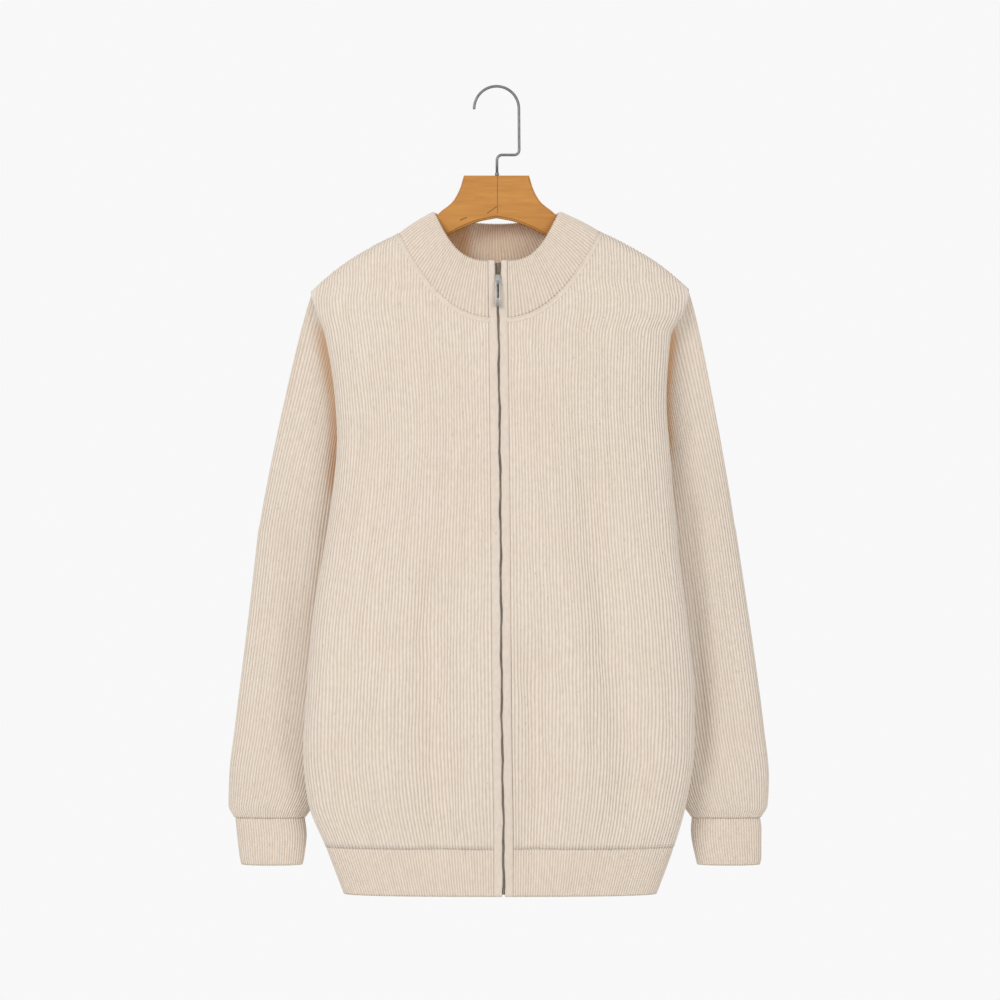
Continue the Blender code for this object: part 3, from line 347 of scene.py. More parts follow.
TAB_THICK = 1.3
TAB_SLOT_WIDTH = 2.5
TAB_SLOT_LENGTH = 15.8
TAB_EDGE = 0.75
TAB_CORNER = 1.2
TAB_SLOT_CORNER = 0.9
TAB_EDGE_ROUND = ((0.32, 0.0), (0.1, 0.12), (0.0, 0.35))
TAB_SLOT_ROUND = ((-0.25, 0.0), (-0.06, 0.1), (0.0, 0.3))

# The strip that links the collar to the body: places across it and how far each stands out
LINK_COLUMNS = 420
LINK_START = 0.5
LINK_END = 1.6
LINK_BELOW_SHOULDER = 0.02
LINK_NEAR, LINK_MIDDLE, LINK_FAR = 1, 5, 12
LINK_SMOOTHING = 0.006
LINK_STITCH = 2.0
LINK_SECTION = (
    (-1.5, 0.0), (-1.35, 1.1), (-1.0, 1.5), (-0.55, 1.65), (-0.1, 1.5), (0.3, 1.1), (0.6, 0.85),
    (0.95, 1.1), (1.7, 1.3), (2.7, 1.32), (3.5, 1.25), (4.0, 1.05), (4.35, 0.6), (4.5, -0.3),
    (3.8, -0.9), (1.5, -0.9), (-1.2, -0.9),
)

# Colours of yarn, tape, metal and wood. Each metal has a light, a dark and its roughness.
TAPE_DARK = (0.17, 0.125, 0.085)
TAPE_LIGHT = (0.26, 0.2, 0.14)
WARP_PITCH = 0.0007
WEFT_PITCH = 0.0009
SILVER = ((0.5, 0.485, 0.46), (0.28, 0.27, 0.255), 0.42)
TEETH_METAL = ((0.5, 0.44, 0.36), (0.22, 0.19, 0.15), 0.45)
HOOK_STEEL = ((0.3, 0.3, 0.3), (0.17, 0.17, 0.17), 0.55)
YARN_LIGHT = (0.83, 0.735, 0.635)
# Painted shade for the rib grooves
PAINTED_GROOVE_SHADE = (0.52, 0.4, 0.285)
YARN_PLAIN = (0.745, 0.64, 0.54)
YARN_BAND = (0.81, 0.705, 0.6)
YARN_WARM = (0.7, 0.56, 0.43)
YARN_FLECK = (0.3, 0.2, 0.12)
# Painted shade, deep and warm, under the arm, beside the armhole and inside the collar
PAINTED_SHADE_BROWN = (0.56, 0.275, 0.085)
# How much of the grooves' painted shade is mixed in
GROOVE_SHADE_MIX = 0.55
WOOD_LIGHT = (0.66, 0.3, 0.06)
WOOD_DARK = (0.42, 0.16, 0.026)
WOOD_LINE = (0.12, 0.05, 0.015)
WOOD_LINES = (
    ((1.06, -93.0), (1.06, -134.0), 0.8, 0.8),
    ((0.5, -126.5), (-10.0, -133.9), 0.8, 1.0),
    ((-38.7, -141.0), (-31.3, -138.2), 1.0, 0.95),
    ((-22.0, -118.0), (-12.0, -116.5), 0.3, 0.3),
)

# Light, floor and camera, in metres
AMBIENT = 0.51
LIGHTS = (
    ("key", (-1.6, -2.4, 0.6), (0.0, 0.0, -0.45), 1.2, 37.5, (0.99, 0.99, 1.0)),
    ("fill", (1.6, -2.7, 0.1), (0.0, 0.0, -0.5), 1.6, 29.5, (0.97, 0.985, 1.0)),
    ("rim", (-1.2, 1.5, 0.8), (0.0, 0.0, -0.4), 1.0, 14.0, (1.0, 1.0, 1.0)),
)
FLOOR_RADIUS = 1.0
FLOOR_LEVEL = -1.25
CAMERA_PLACE = (0.0037, -3.0, -0.437)
CAMERA_LENS = 101.9

# Hanger and hook
HANGER_THICK = 12.0
HANGER_STEPS = 40
HANGER_BEVEL = 1.8
HANGER_TOP_HALF = 34.5
HANGER_TOP = -93.6
HANGER_UPPER_EDGE = (
    (39.0, -108.4),
    (47.0, -122.0),
    (59.0, -131.6),
    (71.0, -143.5),
    (88.0, -155.5),
    (107.0, -166.5),
    (140.0, -179.0),
    (162.0, -192.5),
    (171.0, -201.0),
)
HANGER_TIP = (173.0, -210.0)
HANGER_LOWER_EDGE = (
    (167.0, -215.5),
    (150.0, -209.0),
    (105.0, -184.5),
    (50.0, -155.5),
    (34.0, -147.5),
    (18.0, -141.5),
    (0.0, -138.0),
)
WIRE = 2.9
HOOK_RADIUS = 23.7
HOOK_SHANK_X = 24.0
HOOK_STEP = -71.3
HOOK_STEM_X = 0.5
HOOK_CORNER = 5.3
HOOK_STEPS = 60
HOOK_CORNER_STEPS = 14
WIRE_SIDES = 20
FERRULE_SIDES = 32
HOOK_FOOT = 0.2
HOOK_TIP = ((0.45, 0.75), (0.8, 0.5), (0.97, 0.2))
FERRULE = ((1.75, -93.5), (2.15, -93.2), (2.15, -90.6), (1.9, -90.2), (1.5, -90.0))


def curve_through(rows, column):
    """A smooth curve through a table's first column and another, never past its rows."""
    places, values = np.array(sorted((row[0], row[column]) for row in rows)).T
    slopes = np.diff(values) / np.diff(places)
    tangents = [slopes[0]]
    for before, after in zip(slopes, slopes[1:]):
        tangents.append(0.0 if before * after <= 0.0 else 2.0 * before * after / (before + after))
    tangents = np.array(tangents + [slopes[-1]])

    def value(place):
        place = np.clip(place, places[0], places[-1])
        i = np.clip(np.searchsorted(places, place, side="right") - 1, 0, len(places) - 2)
        span = places[i + 1] - places[i]
        t = (place - places[i]) / span
        rest = 1.0 - t
        return (
            values[i] * rest * rest * (1.0 + 2.0 * t)
            + tangents[i] * span * t * rest * rest
            + values[i + 1] * t * t * (3.0 - 2.0 * t)
            - tangents[i + 1] * span * t * t * rest
        )

    return value


def table_curves(rows, names):
    """One smooth curve for each named column, by the table's first column."""
    return {name: curve_through(rows, place) for place, name in enumerate(names) if place}


body_reach = table_curves(BODY_RINGS, BODY_COLUMNS)
shoulder_drop = table_curves(SHOULDER_LINE, SHOULDER_COLUMNS)["height"]
zip_middle = table_curves(ZIP_LINE, ZIP_COLUMNS)["x"]
sleeve_curves = table_curves(SLEEVE_RINGS, SLEEVE_COLUMNS)
cuff_curves = table_curves(CUFF_RINGS, SLEEVE_COLUMNS)
back_arm_share = table_curves(ARMHOLE_BACK_SHARE, BACK_SHARE_COLUMNS)["share"]


def smooth_step(value):
    value = np.clip(value, 0.0, 1.0)
    return value * value * (3.0 - 2.0 * value)


def unit(vectors):
    """Vectors along the last axis, each one unit long."""
    lengths = np.linalg.norm(vectors, axis=-1, keepdims=True)
    return vectors / np.maximum(lengths, 1e-9)


def shoulder_height(x):
    return shoulder_drop(np.abs(x - SHOULDER_MIDDLE))


def neck_height(x, wall):
    """The neck seam's height at x. It ends on the shoulder line."""
    side = np.where(x < NECK_MIDDLE, LEFT, RIGHT)
    top = shoulder_height(NECK_MIDDLE + side * NECK_HALF_WIDTH)
    ratio = np.minimum(np.abs(x - NECK_MIDDLE) / NECK_HALF_WIDTH, 1.0)
    return NECK_LOW[wall] + (top - NECK_LOW[wall]) * ratio ** NECK_POWER[wall]


def fold_push(folds, x, height):
    """How far the folds push the cloth in at a place, negative where it stands out."""
    push = 0.0
    for row in folds:
        fold = dict(zip(FOLD_COLUMNS, row))
        run = np.clip((fold["high"] - height) / (fold["high"] - fold["low"]), 0.0, 1.0)
        middle = (
            fold["x_high"] * (1 - run) * (1 - 2 * run)
            + fold["x_mid"] * 4 * run * (1 - run)
            + fold["x_low"] * run * (2 * run - 1)
        )
        fade_in = smooth_step((fold["high"] - height) / FOLD_FADE)
        fade_out = smooth_step((height - fold["low"]) / FOLD_FADE)
        shape = np.exp(-(((x - middle) / fold["width"]) ** 2))
        push = push + fold["depth"] * fade_in * fade_out * shape
    return push * FOLD_GAIN


def wall_depth(reach, x, height):
    """How far the cloth stands from the hanger's plane below the shoulder line."""
    below = np.maximum(shoulder_height(x) - height, 0.0)
    part = np.minimum(below / SHOULDER_ROUND, 1.0)
    over = SHOULDER_ROUND * np.sqrt(1.0 - (1.0 - part) ** 2)
    return over + (reach - SHOULDER_ROUND) * (1.0 - np.exp(-below / DEPTH_REACH))


def wall_y(wall, x, height, facing):
    """The y of the cloth on the body's front or back."""
    reach = body_reach[wall](height)
    if wall == "front":
        return -(wall_depth(reach, x, height) - fold_push(FRONT_FOLDS, x, height)) * facing
    return (wall_depth(reach, x, height) - fold_push(BACK_FOLDS, x, height)) * facing


def body_y(wall, x, height):
    """The y of the body's cloth at any place seen from the front."""
    zip_x = zip_middle(height)
    reach = np.where(x < zip_x, -body_reach["left"](height), body_reach["right"](height))
    ratio = np.clip((x - zip_x) / (reach - zip_x), 0.0, 1.0)
    square = body_reach["square"](height)
    facing = (1.0 - ratio**square) ** (1.0 / square)
    return wall_y(wall, x, height, facing)


@functools.cache
def ring_table(side):
    """For each level and even share along the cloth: x and how far the cloth faces front."""
    levels = np.linspace(RING_BOTTOM, RING_TOP, RING_LEVELS)
    shares = np.linspace(0.0, 1.0, SHARE_STEPS)
    front_angles = np.linspace(0.0, SIDE_SEAM_ANGLE, RING_STEPS, endpoint=False)
    back_angles = np.linspace(SIDE_SEAM_ANGLE, math.pi, RING_STEPS // 2)
    angles = np.concatenate((front_angles, back_angles))
    tables = {"front": [], "back": []}
    for level in levels:
        zip_x = zip_middle(level)
        reach = body_reach["left" if side == LEFT else "right"](level)
        power = 2.0 / body_reach["square"](level)
        x = zip_x + (side * reach - zip_x) * np.abs(np.sin(angles)) ** power
        facing = np.sign(np.cos(angles)) * np.abs(np.cos(angles)) ** power
        y = np.where(
            facing >= 0.0,
            wall_y("front", x, level, facing),
            wall_y("back", x, level, -facing),
        )
        lengths = np.concatenate(([0.0], np.cumsum(np.hypot(np.diff(x), np.diff(y)))))
        seam = lengths[RING_STEPS]
        for wall, start, end in (
            ("front", FRONT_EDGE, seam - SEAM_TOUCH / 2),
            ("back", seam + SEAM_TOUCH / 2, lengths[-1]),
        ):
            places = start + shares * (end - start)
            tables[wall].append((np.interp(places, lengths, x), np.interp(places, lengths, facing)))
    return {wall: np.array(rows) for wall, rows in tables.items()}


def read_table(table, share, height):
    """The table's value between its levels and shares."""
    level = (height - RING_BOTTOM) / (RING_TOP - RING_BOTTOM) * (RING_LEVELS - 1)
    level = np.clip(level, 0.0, RING_LEVELS - 1.001)
    place = np.clip(share, 0.0, 1.0) * (SHARE_STEPS - 1)
    place = np.minimum(place, SHARE_STEPS - 1.001)
    row = level.astype(int)
    column = place.astype(int)
    up = level - row
    over = place - column
    low = table[row, column] * (1 - over) + table[row, column + 1] * over
    high = table[row + 1, column] * (1 - over) + table[row + 1, column + 1] * over
    return low * (1 - up) + high * up


def panel_place(wall, side, share, height):
    """Points of a panel: share 0 to 1 runs from the zip to the side seam, or from the side
    seam to the back's middle."""
    share, height = np.broadcast_arrays(np.asarray(share, float), np.asarray(height, float))
    if wall == "back":
        edge = back_arm_share(height)
        before = share / BACK_ARM_START * edge
        after = edge + (share - BACK_ARM_START) / (1.0 - BACK_ARM_START) * (1.0 - edge)
        share = np.where(share < BACK_ARM_START, before, after)
    table = ring_table(side)[wall]
    x = read_table(table[:, 0], share, height)
    facing = read_table(table[:, 1], share, height)
    folded = np.where(
        facing >= 0.0,
        wall_y("front", x, height, facing),
        wall_y("back", x, height, -facing),
    )
    return np.stack((x, folded, height), axis=-1)


def rib_shares(stretches):
    """Shares across a panel, even within each (start, end, ribs) stretch."""
    parts = [np.array([stretches[0][0]])]
    for start, end, ribs in stretches:
        parts.append(np.linspace(start, end, ribs * RIB_COLUMNS + 1)[1:])
    return np.concatenate(parts)


def wander(shares, rows, ribs, seed):
    """Small sideways wandering of the ribs, in ribs: rows by columns."""
    chance = np.random.default_rng(seed)
    along = np.arange(rows)[:, None]
    across = np.linspace(0.0, ribs, len(shares))[None, :]
    moved = np.zeros((rows, len(shares)))
    for wave in WANDER_WAVES:
        phase, slant = chance.uniform(0.0, 2 * math.pi), chance.uniform(0.3, 1.1)
        size = wave / WANDER_WAVES[0]
        moved += size**0.5 * np.sin(2 * math.pi * along / wave + slant * across + phase)
    return moved * RIB_WANDER


def panel_grid(wall, side, shares, rows_low, rows_high, seed):
    """Points of a front, or of half a back, rows from the hem seam up, and the chest row."""
    if wall == "front":
        arm = ARM_SHARE
        past = np.clip((shares - arm) / (1.0 - arm), 0.0, 1.0)
        reach = np.minimum(shares, arm)
    else:
        arm = BACK_ARM_START
        past = np.clip((arm - shares) / arm, 0.0, 1.0)
        reach = np.maximum(shares, arm)
    chest = ARMHOLE_TURN + (UNDERARM - ARMHOLE_TURN) * np.sin(past * math.pi / 2)
    top = np.full(len(shares), SHOULDER_GUESS)
    for _ in range(SHOULDER_PASSES):
        x = panel_place(wall, side, reach, top)[:, 0]
        in_neck = np.abs(x - NECK_MIDDLE) < NECK_HALF_WIDTH
        top = np.where(in_neck, neck_height(x, wall) - SEAM_GAP, shoulder_height(x))
    low = HEM_SEAM + rows_low[:, None] * (chest - HEM_SEAM)[None, :]
    high = chest[None, :] + rows_high[1:, None] * (top - chest)[None, :]
    heights = np.concatenate((low, high))
    edge_fade = np.minimum(shares, 1.0 - shares) / WANDER_EDGE
    moved = wander(shares, len(heights), len(shares) / RIB_COLUMNS, seed)
    pitch = RIB_COLUMNS / len(shares)
    moved *= np.clip(edge_fade, 0.0, 1.0)[None, :] * pitch
    moved *= smooth_step((len(heights) - 1 - np.arange(len(heights))) / SHOULDER_STEADY)[:, None]
    points = panel_place(wall, side, shares[None, :] + moved, heights)
    limit = -SEAM_TOUCH / 2 if wall == "front" else SEAM_TOUCH / 2
    on_shoulder = np.abs(points[-1, :, 0] - NECK_MIDDLE) >= NECK_HALF_WIDTH
    points[-1, on_shoulder, 1] = limit
    return points, len(rows_low) - 1


def cloth_normals(points, closed, outward, shoulders=False):
    """Unit normals of a grid, turned out by `outward`; at the shoulders they stay upright."""
    if closed:
        across = np.roll(points, -1, axis=1) - np.roll(points, 1, axis=1)
    else:
        across = np.gradient(points, axis=1)
    normals = unit(np.cross(across, np.gradient(points, axis=0))) * outward
    if shoulders:
        on_shoulder = np.abs(points[-1, :, 0] - NECK_MIDDLE) > NECK_HALF_WIDTH - 2.0
        normals[-1, on_shoulder, 1] = 0.0
        normals[-1] = unit(normals[-1])
    return normals


def smoothed(values, share, closed=True):
    """Values evened out round a loop, or along a panel, over a share of its columns."""
    count = values.shape[-2]
    sigma = max(share * count, 0.5)
    reach = int(3 * sigma) + 1
    weights = np.exp(-0.5 * (np.arange(-reach, reach + 1) / sigma) ** 2)
    weights /= weights.sum()
    mode = "wrap" if closed else "edge"
    margin = [(0, 0)] * values.ndim
    margin[-2] = (reach, reach)
    padded = np.pad(values, margin, mode=mode)
    result = np.zeros_like(values)
    for k, weight in enumerate(weights):
        result += weight * padded[..., k:k + count, :]
    return result


def rib_profile(columns, rows, seed):
    """How far each point of a ribbed grid stands out, from 0 in a groove to 1 on a rib."""
    chance = np.random.default_rng(seed)
    phase = np.arange(columns) / RIB_COLUMNS
    ridge = (0.5 - 0.5 * np.cos(2 * math.pi * phase)) ** RIB_ROUND
    rib = (np.arange(columns) // RIB_COLUMNS).astype(int)
    strength = chance.uniform(*RIB_STRENGTH, rib.max() + 1)[rib]
    along = np.arange(rows)[:, None] / RIB_SWELL_ROWS
    shift = chance.uniform(0.0, 2 * math.pi, rib.max() + 1)[rib][None, :]
    return ridge[None, :] * strength[None, :] * (1.0 + RIB_SWELL * np.sin(along + shift))


def face_out(builder):
    """Turns a closed mesh's faces to point outwards."""
    bmesh.ops.recalc_face_normals(builder, faces=builder.faces)
    if builder.calc_volume(signed=True) < 0.0:
        bmesh.ops.reverse_faces(builder, faces=builder.faces)


def placed(name, mesh, body):
    """An object in the scene that rides on a body."""
    made = bpy.data.objects.new(name, mesh)
    bpy.context.scene.collection.objects.link(made)
    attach(made, body)
    return made


def stand_for(piece, solid):
    """Hides the solid of the frame that a piece is built over."""
    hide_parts(solid)


def mesh_object(name, builder, material, smooth=True, body=BODY):
    """A named piece from a bmesh in millimetres, facing out, riding on a body."""
    face_out(builder)
    bmesh.ops.scale(builder, vec=(MM, MM, MM), verts=builder.verts)
    mesh = bpy.data.meshes.new(name)
    builder.to_mesh(mesh)
    builder.free()
    mesh.materials.append(material)
    if smooth:
        mesh.shade_smooth()
    return placed(name, mesh, body)


def mesh_from_arrays(name, points, faces, face_uvs, material, marks=None):
    """A piece from points, faces of three or four corners, and one (u, v) for each corner.

    `marks` holds one number for each point by name, which the material reads.
    """
    mesh = bpy.data.meshes.new(name)
    mesh.from_pydata((points * MM).tolist(), [], faces)
    layer = mesh.uv_layers.new(name="knit")
    layer.data.foreach_set("uv", np.asarray(face_uvs, np.float32).ravel())
    builder = bmesh.new()
    builder.from_mesh(mesh)
    face_out(builder)
    builder.to_mesh(mesh)
    builder.free()
    for mark, values in (marks or {}).items():
        mesh.attributes.new(mark, "FLOAT", "POINT").data.foreach_set("value", values)
    mesh.materials.append(material)
    mesh.shade_smooth()
    return placed(name, mesh, BODY)


def cell_corners(columns, low, high, left, right):
    """The four corners of each cell of a grid, between two rows and two columns."""
    row_starts = (low * columns, high * columns)
    return np.stack((
        row_starts[0] + left, row_starts[0] + right, row_starts[1] + right, row_starts[1] + left,
    ), axis=1)


def shell(name, outer, inner, material, closed=False, present=None, ribbed=None, shaded=None):
    """A thin wall of cloth: a ribbed outer grid, a plainer inner one, and the rims between.

    The inner side keeps one column for each rib. `present` says which cells hold cloth.
    `ribbed` says how strong the painted shade in the rib grooves is at each point, and `shaded`
    how much painted shade, deep and warm, lies there.
    """
    rows, columns = outer.shape[:2]
    cells = columns if closed else columns - 1
    keep = list(range(0, cells, RIB_COLUMNS)) + ([] if closed else [cells])
    held = np.ones((rows - 1, cells), bool) if present is None else present
    lengths = np.cumsum(np.linalg.norm(np.diff(outer, axis=0, prepend=outer[:1]), axis=2), axis=0)
    inner_index = {column: k for k, column in enumerate(keep)}
    outer_count = rows * columns
    points = np.concatenate((outer.reshape(-1, 3), inner[:, keep].reshape(-1, 3)))

    def corner(layer, row, column):
        place = column % columns if closed else column
        v = lengths[row, place] / STITCH
        if layer == "outer":
            return row * columns + place, (column / RIB_COLUMNS, v)
        return outer_count + row * len(keep) + inner_index[place], (column / RIB_COLUMNS, v)

    cell_rows, cell_columns = np.nonzero(held)
    nexts = cell_columns + 1
    wrapped = nexts % columns if closed else nexts
    quads = cell_corners(columns, cell_rows, cell_rows + 1, cell_columns, wrapped)
    along = lengths.ravel()[quads] / STITCH
    over = np.stack((cell_columns, nexts, nexts, cell_columns), axis=1) / RIB_COLUMNS
    uvs = [np.stack((over, along), axis=2).reshape(-1, 2)]
    faces = quads.tolist()

    def add(*corners):
        made = [corner(*place) for place in corners]
        faces.append([index for index, _ in made])
        uvs.append(np.array([uv for _, uv in made]))

    def is_held(row, column):
        column = column % cells if closed else column
        return 0 <= row < rows - 1 and 0 <= column < cells and held[row, column]

    ends = keep[1:] + ([columns] if closed else [])
    for start, end in zip(keep, ends):
        for row in range(rows):
            here = is_held(row, start)
            if here:
                add(
                    ("inner", row, start), ("inner", row + 1, start),
                    ("inner", row + 1, end), ("inner", row, end),
                )
            if here != is_held(row - 1, start):
                half = (start + end) // 2
                for column in range(start, end):
                    near = start if column < half else end
                    add(("outer", row, column), ("outer", row, column + 1), ("inner", row, near))
                add(("outer", row, half), ("inner", row, end), ("inner", row, start))
    if not closed:
        for column in keep:
            for row in range(rows - 1):
                if is_held(row, column) != is_held(row, column - 1):
                    add(
                        ("outer", row, column), ("outer", row + 1, column),
                        ("inner", row + 1, column), ("inner", row, column),
                    )
    used = np.unique(np.concatenate([np.array(face) for face in faces[len(quads):]] + [quads.ravel()]))
    renumbered = np.full(len(points), -1)
    renumbered[used] = np.arange(len(used))
    faces = [renumbered[face].tolist() for face in faces]
    marks = {}
    for mark, values, plain in (("ribbed", ribbed, 1.0), ("shaded", shaded, 0.0)):
        whole = np.full((rows, columns), plain) if values is None else values
        whole = np.concatenate((whole.ravel(), whole[:, keep].ravel()))
        marks[mark] = np.ascontiguousarray(whole[used], np.float32)
    return mesh_from_arrays(name, points[used], faces, np.concatenate(uvs), material, marks)


def rows_between(count, power):
    """Even rows from 0 to 1, closer together near 1 for a power above 1."""
    return 1.0 - (1.0 - np.linspace(0.0, 1.0, count)) ** power


def edge_fade(rows, columns, chest, edges):
    """How clear a panel's ribs are: they end in a smooth band beside each armhole edge."""
    across = np.arange(columns)
    away = np.min([np.abs(across - edge) for edge in edges], axis=0) / RIB_COLUMNS
    plain = 1.0 - smooth_step((away - ARM_BAND[0]) / ARM_BAND[1])
    grown = smooth_step((np.arange(rows) - chest) / ARM_BAND_ROWS)
    return 1.0 - grown[:, None] * plain[None, :]


def seam_fade(rows, low=1, high=1):
    """How clear the ribs are near a piece's first and last rows, where it is linked on."""
    fade = np.ones(rows)
    fade[:low] = SEAM_FLAT
    fade[rows - high:] = SEAM_FLAT
    return fade[:, None]


def knit_piece(
    name, solid, slot, material, points, normals, ridge, rise=RIB_HEIGHT, wall=CLOTH_WALL, **how
):
    """A ribbed wall of cloth laid on a grid of points, built over a solid that it hides."""
    outer = points + normals * ridge * rise
    stand_for(shell(name, outer, points - normals * wall, material, **how), solid)


def add_panel(name, solid, material, points, chest, side, seed, edges, cuts):
    """A front or the back, without the cells above the chest row in each cut. Returns normals."""
    normals = cloth_normals(points, False, side, shoulders=True)
    rows, columns = points.shape[:2]
    clear = edge_fade(rows, columns, chest, edges) * seam_fade(rows, 1, 0)
    ridge = rib_profile(columns, rows, seed)
    ridge = (ridge * clear + BAND_RISE * (1.0 - clear))[..., None]
    present = np.ones((rows - 1, columns - 1), bool)
    for cut in cuts:
        present[chest:, cut] = False
    knit_piece(
        name, solid, "knit_rib", material, points, normals, ridge, present=present, ribbed=clear
    )
    return normals


def make_panels(materials):
    """The fronts and the back. Returns their grids for the sleeves."""
    low = rows_between(LOW_ROWS, 1.0)
    high = rows_between(HIGH_ROWS, TOP_CROWDING)
    knit = materials["knit"]
    grids = {}
    shares = rib_shares(((0.0, ARM_SHARE, ARM_RIBS), (ARM_SHARE, 1.0, SIDE_RIBS)))
    arm = ARM_RIBS * RIB_COLUMNS
    for word, side, seed in (("left", LEFT, 11), ("right", RIGHT, 12)):
        points, chest = panel_grid("front", side, shares, low, high, seed)
        normals = add_panel(
            "front_panel_" + word, "front_" + word, knit, points, chest, side, seed,
            edges=(arm,), cuts=(slice(arm, None),),
        )
        grids[side] = (points, normals, chest, arm)
    shares = rib_shares(((0.0, BACK_ARM_START, SIDE_RIBS), (BACK_ARM_START, 1.0, ARM_RIBS - 2)))
    halves = [panel_grid("back", side, shares, low, high, 13)[0] for side in (LEFT, RIGHT)]
    points = np.concatenate((halves[0], halves[1][:, -2::-1]), axis=1)
    edge = SIDE_RIBS * RIB_COLUMNS
    normals = add_panel(
        "back_panel", "back", knit, points, chest, LEFT, 13,
        edges=(edge, points.shape[1] - 1 - edge), cuts=(slice(None, edge), slice(-edge, None)),
    )
    grids["back"] = (points, normals, chest, edge)
    return grids


def armhole_loop(grids, side):
    """The armhole's edge, down the front and up the back: places, ways on and normals."""
    front, front_normals, chest, arm = grids[side]
    back, back_normals, _, edge = grids["back"]
    if side == LEFT:
        back_edge, seam_columns = edge, np.arange(1, edge)
    else:
        last = back.shape[1] - 1
        back_edge, seam_columns = last - edge, np.arange(last - 1, last - edge, -1)
    up = np.array([0.0, 0.0, 1.0])

    def rising(grid, normals, column, sign):
        rise = unit(np.gradient(grid[chest:, column], axis=0))
        return unit(np.cross(normals[chest:, column], rise) * sign)

    down_front = slice(None, None, -1)
    under_front = slice(arm + 1, None)
    places = [
        front[chest:, arm][down_front],
        front[chest, under_front],
        back[chest, seam_columns],
        back[chest:, back_edge],
    ]
    ways = [
        rising(front, front_normals, arm, -side)[down_front],
        np.broadcast_to(up, front[chest, under_front].shape),
        np.broadcast_to(up, back[chest, seam_columns].shape),
        rising(back, back_normals, back_edge, side),
    ]
    normals = [
        front_normals[chest:, arm][down_front],
        front_normals[chest, under_front],
        back_normals[chest, seam_columns],
        back_normals[chest:, back_edge],
    ]
    return np.concatenate(places), np.concatenate(ways), np.concatenate(normals)


def oval_ring(side, curves, height, count):
    """A ring of a sleeve or cuff: from its outer edge round the front, inner edge and back."""
    word = "left" if side == LEFT else "right"
    half_width = curves[word + "_width"](height) / 2
    half_thick = curves["thick"](height) / 2
    centre_x = side * (curves[word](height) - half_width)
    centre_y = curves["depth"](height)
    angles = np.linspace(0.0, 2 * math.pi, OVAL_STEPS)
    across = np.cos(angles)
    deep = np.sin(angles)
    x = centre_x + side * half_width * np.sign(across) * np.abs(across) ** OVAL_POWER
    y = centre_y - half_thick * np.sign(deep) * np.abs(deep) ** OVAL_POWER
    lengths = np.concatenate(([0.0], np.cumsum(np.hypot(np.diff(x), np.diff(y)))))
    places = np.linspace(0.0, lengths[-1], count, endpoint=False)
    ring_x = np.interp(places, lengths, x)
    ring_y = np.interp(places, lengths, y)
    return np.stack((ring_x, ring_y, np.full(count, height)), axis=1)


def sleeve_grid(grids, side):
    """Points of a sleeve, rows from the armhole to the cuff, and the panels' edge normals."""
    count = SLEEVE_RIBS * RIB_COLUMNS
    edge, ways, normals = armhole_loop(grids, side)
    lengths = np.concatenate(([0.0], np.cumsum(np.linalg.norm(np.diff(edge, axis=0), axis=1))))
    places = np.linspace(0.0, lengths[-1], count, endpoint=False)
    starts, column_ways, edge_normals = (
        np.stack([np.interp(places, lengths, values[:, k]) for k in range(3)], axis=1)
        for values in (edge, ways, normals)
    )
    column_ways = unit(smoothed(column_ways, WAY_SMOOTHING))
    share = np.arange(count) / count
    under = smooth_step(1.0 - np.abs(share - 0.5) / UNDERARM_SPREAD)[:, None]
    first = oval_ring(side, sleeve_curves, SLEEVE_TOP, count)
    start = starts + column_ways * SLEEVE_JOINT_GAP
    leave = start + column_ways * (CAP_TANGENT + (UNDERARM_TANGENT - CAP_TANGENT) * under)
    drop = CAP_DROP + (UNDERARM_DROP - CAP_DROP) * under
    lean = side * CAP_LEAN * (1.0 - under)
    arrive = first + drop * np.concatenate((-lean, np.zeros_like(lean), np.ones_like(lean)), axis=1)
    cap = []
    for t in np.linspace(0.0, 1.0, CAP_ROWS, endpoint=False):
        rest = 1.0 - t
        cap.append(start * rest**3 + leave * 3 * t * rest**2 + arrive * 3 * t**2 * rest + first * t**3)
    cap = np.array(cap)
    cap[1:] = smoothed(cap[1:], NORMAL_SMOOTHING)
    levels = SLEEVE_TOP + (SLEEVE_BOTTOM - SLEEVE_TOP) * rows_between(SLEEVE_ROWS, SLEEVE_CROWDING)
    lower = np.array([oval_ring(side, sleeve_curves, level, count) for level in levels])
    return np.concatenate((cap, lower)), unit(edge_normals)


def sleeve_shade(side, points, share, beside):
    """How much painted shade, deep and warm, a sleeve gets: under the arm and beside the armhole."""
    height = points[..., 2]
    near = smooth_step(1.0 - np.abs(share - 0.5) / SHADE_SPREAD)
    near = near * smooth_step((SHADE_END - share) / SHADE_TURN)
    under = near * smooth_step((height - SHADE_LOW) / SHADE_FADE)
    gap_heights, gap_edges = np.array(GAP_EDGES[side]).T
    away = side * points[..., 0] - np.interp(height, gap_heights, gap_edges)
    recess = smooth_step(1.0 - away / GAP_REACH[side]) * beside
    recess = recess * smooth_step((GAP_TOP - height) / GAP_FADE)
    recess = recess * smooth_step((height - GAP_LOW[side]) / GAP_FADE)
    return np.maximum(under, recess * GAP_SHADE[side])


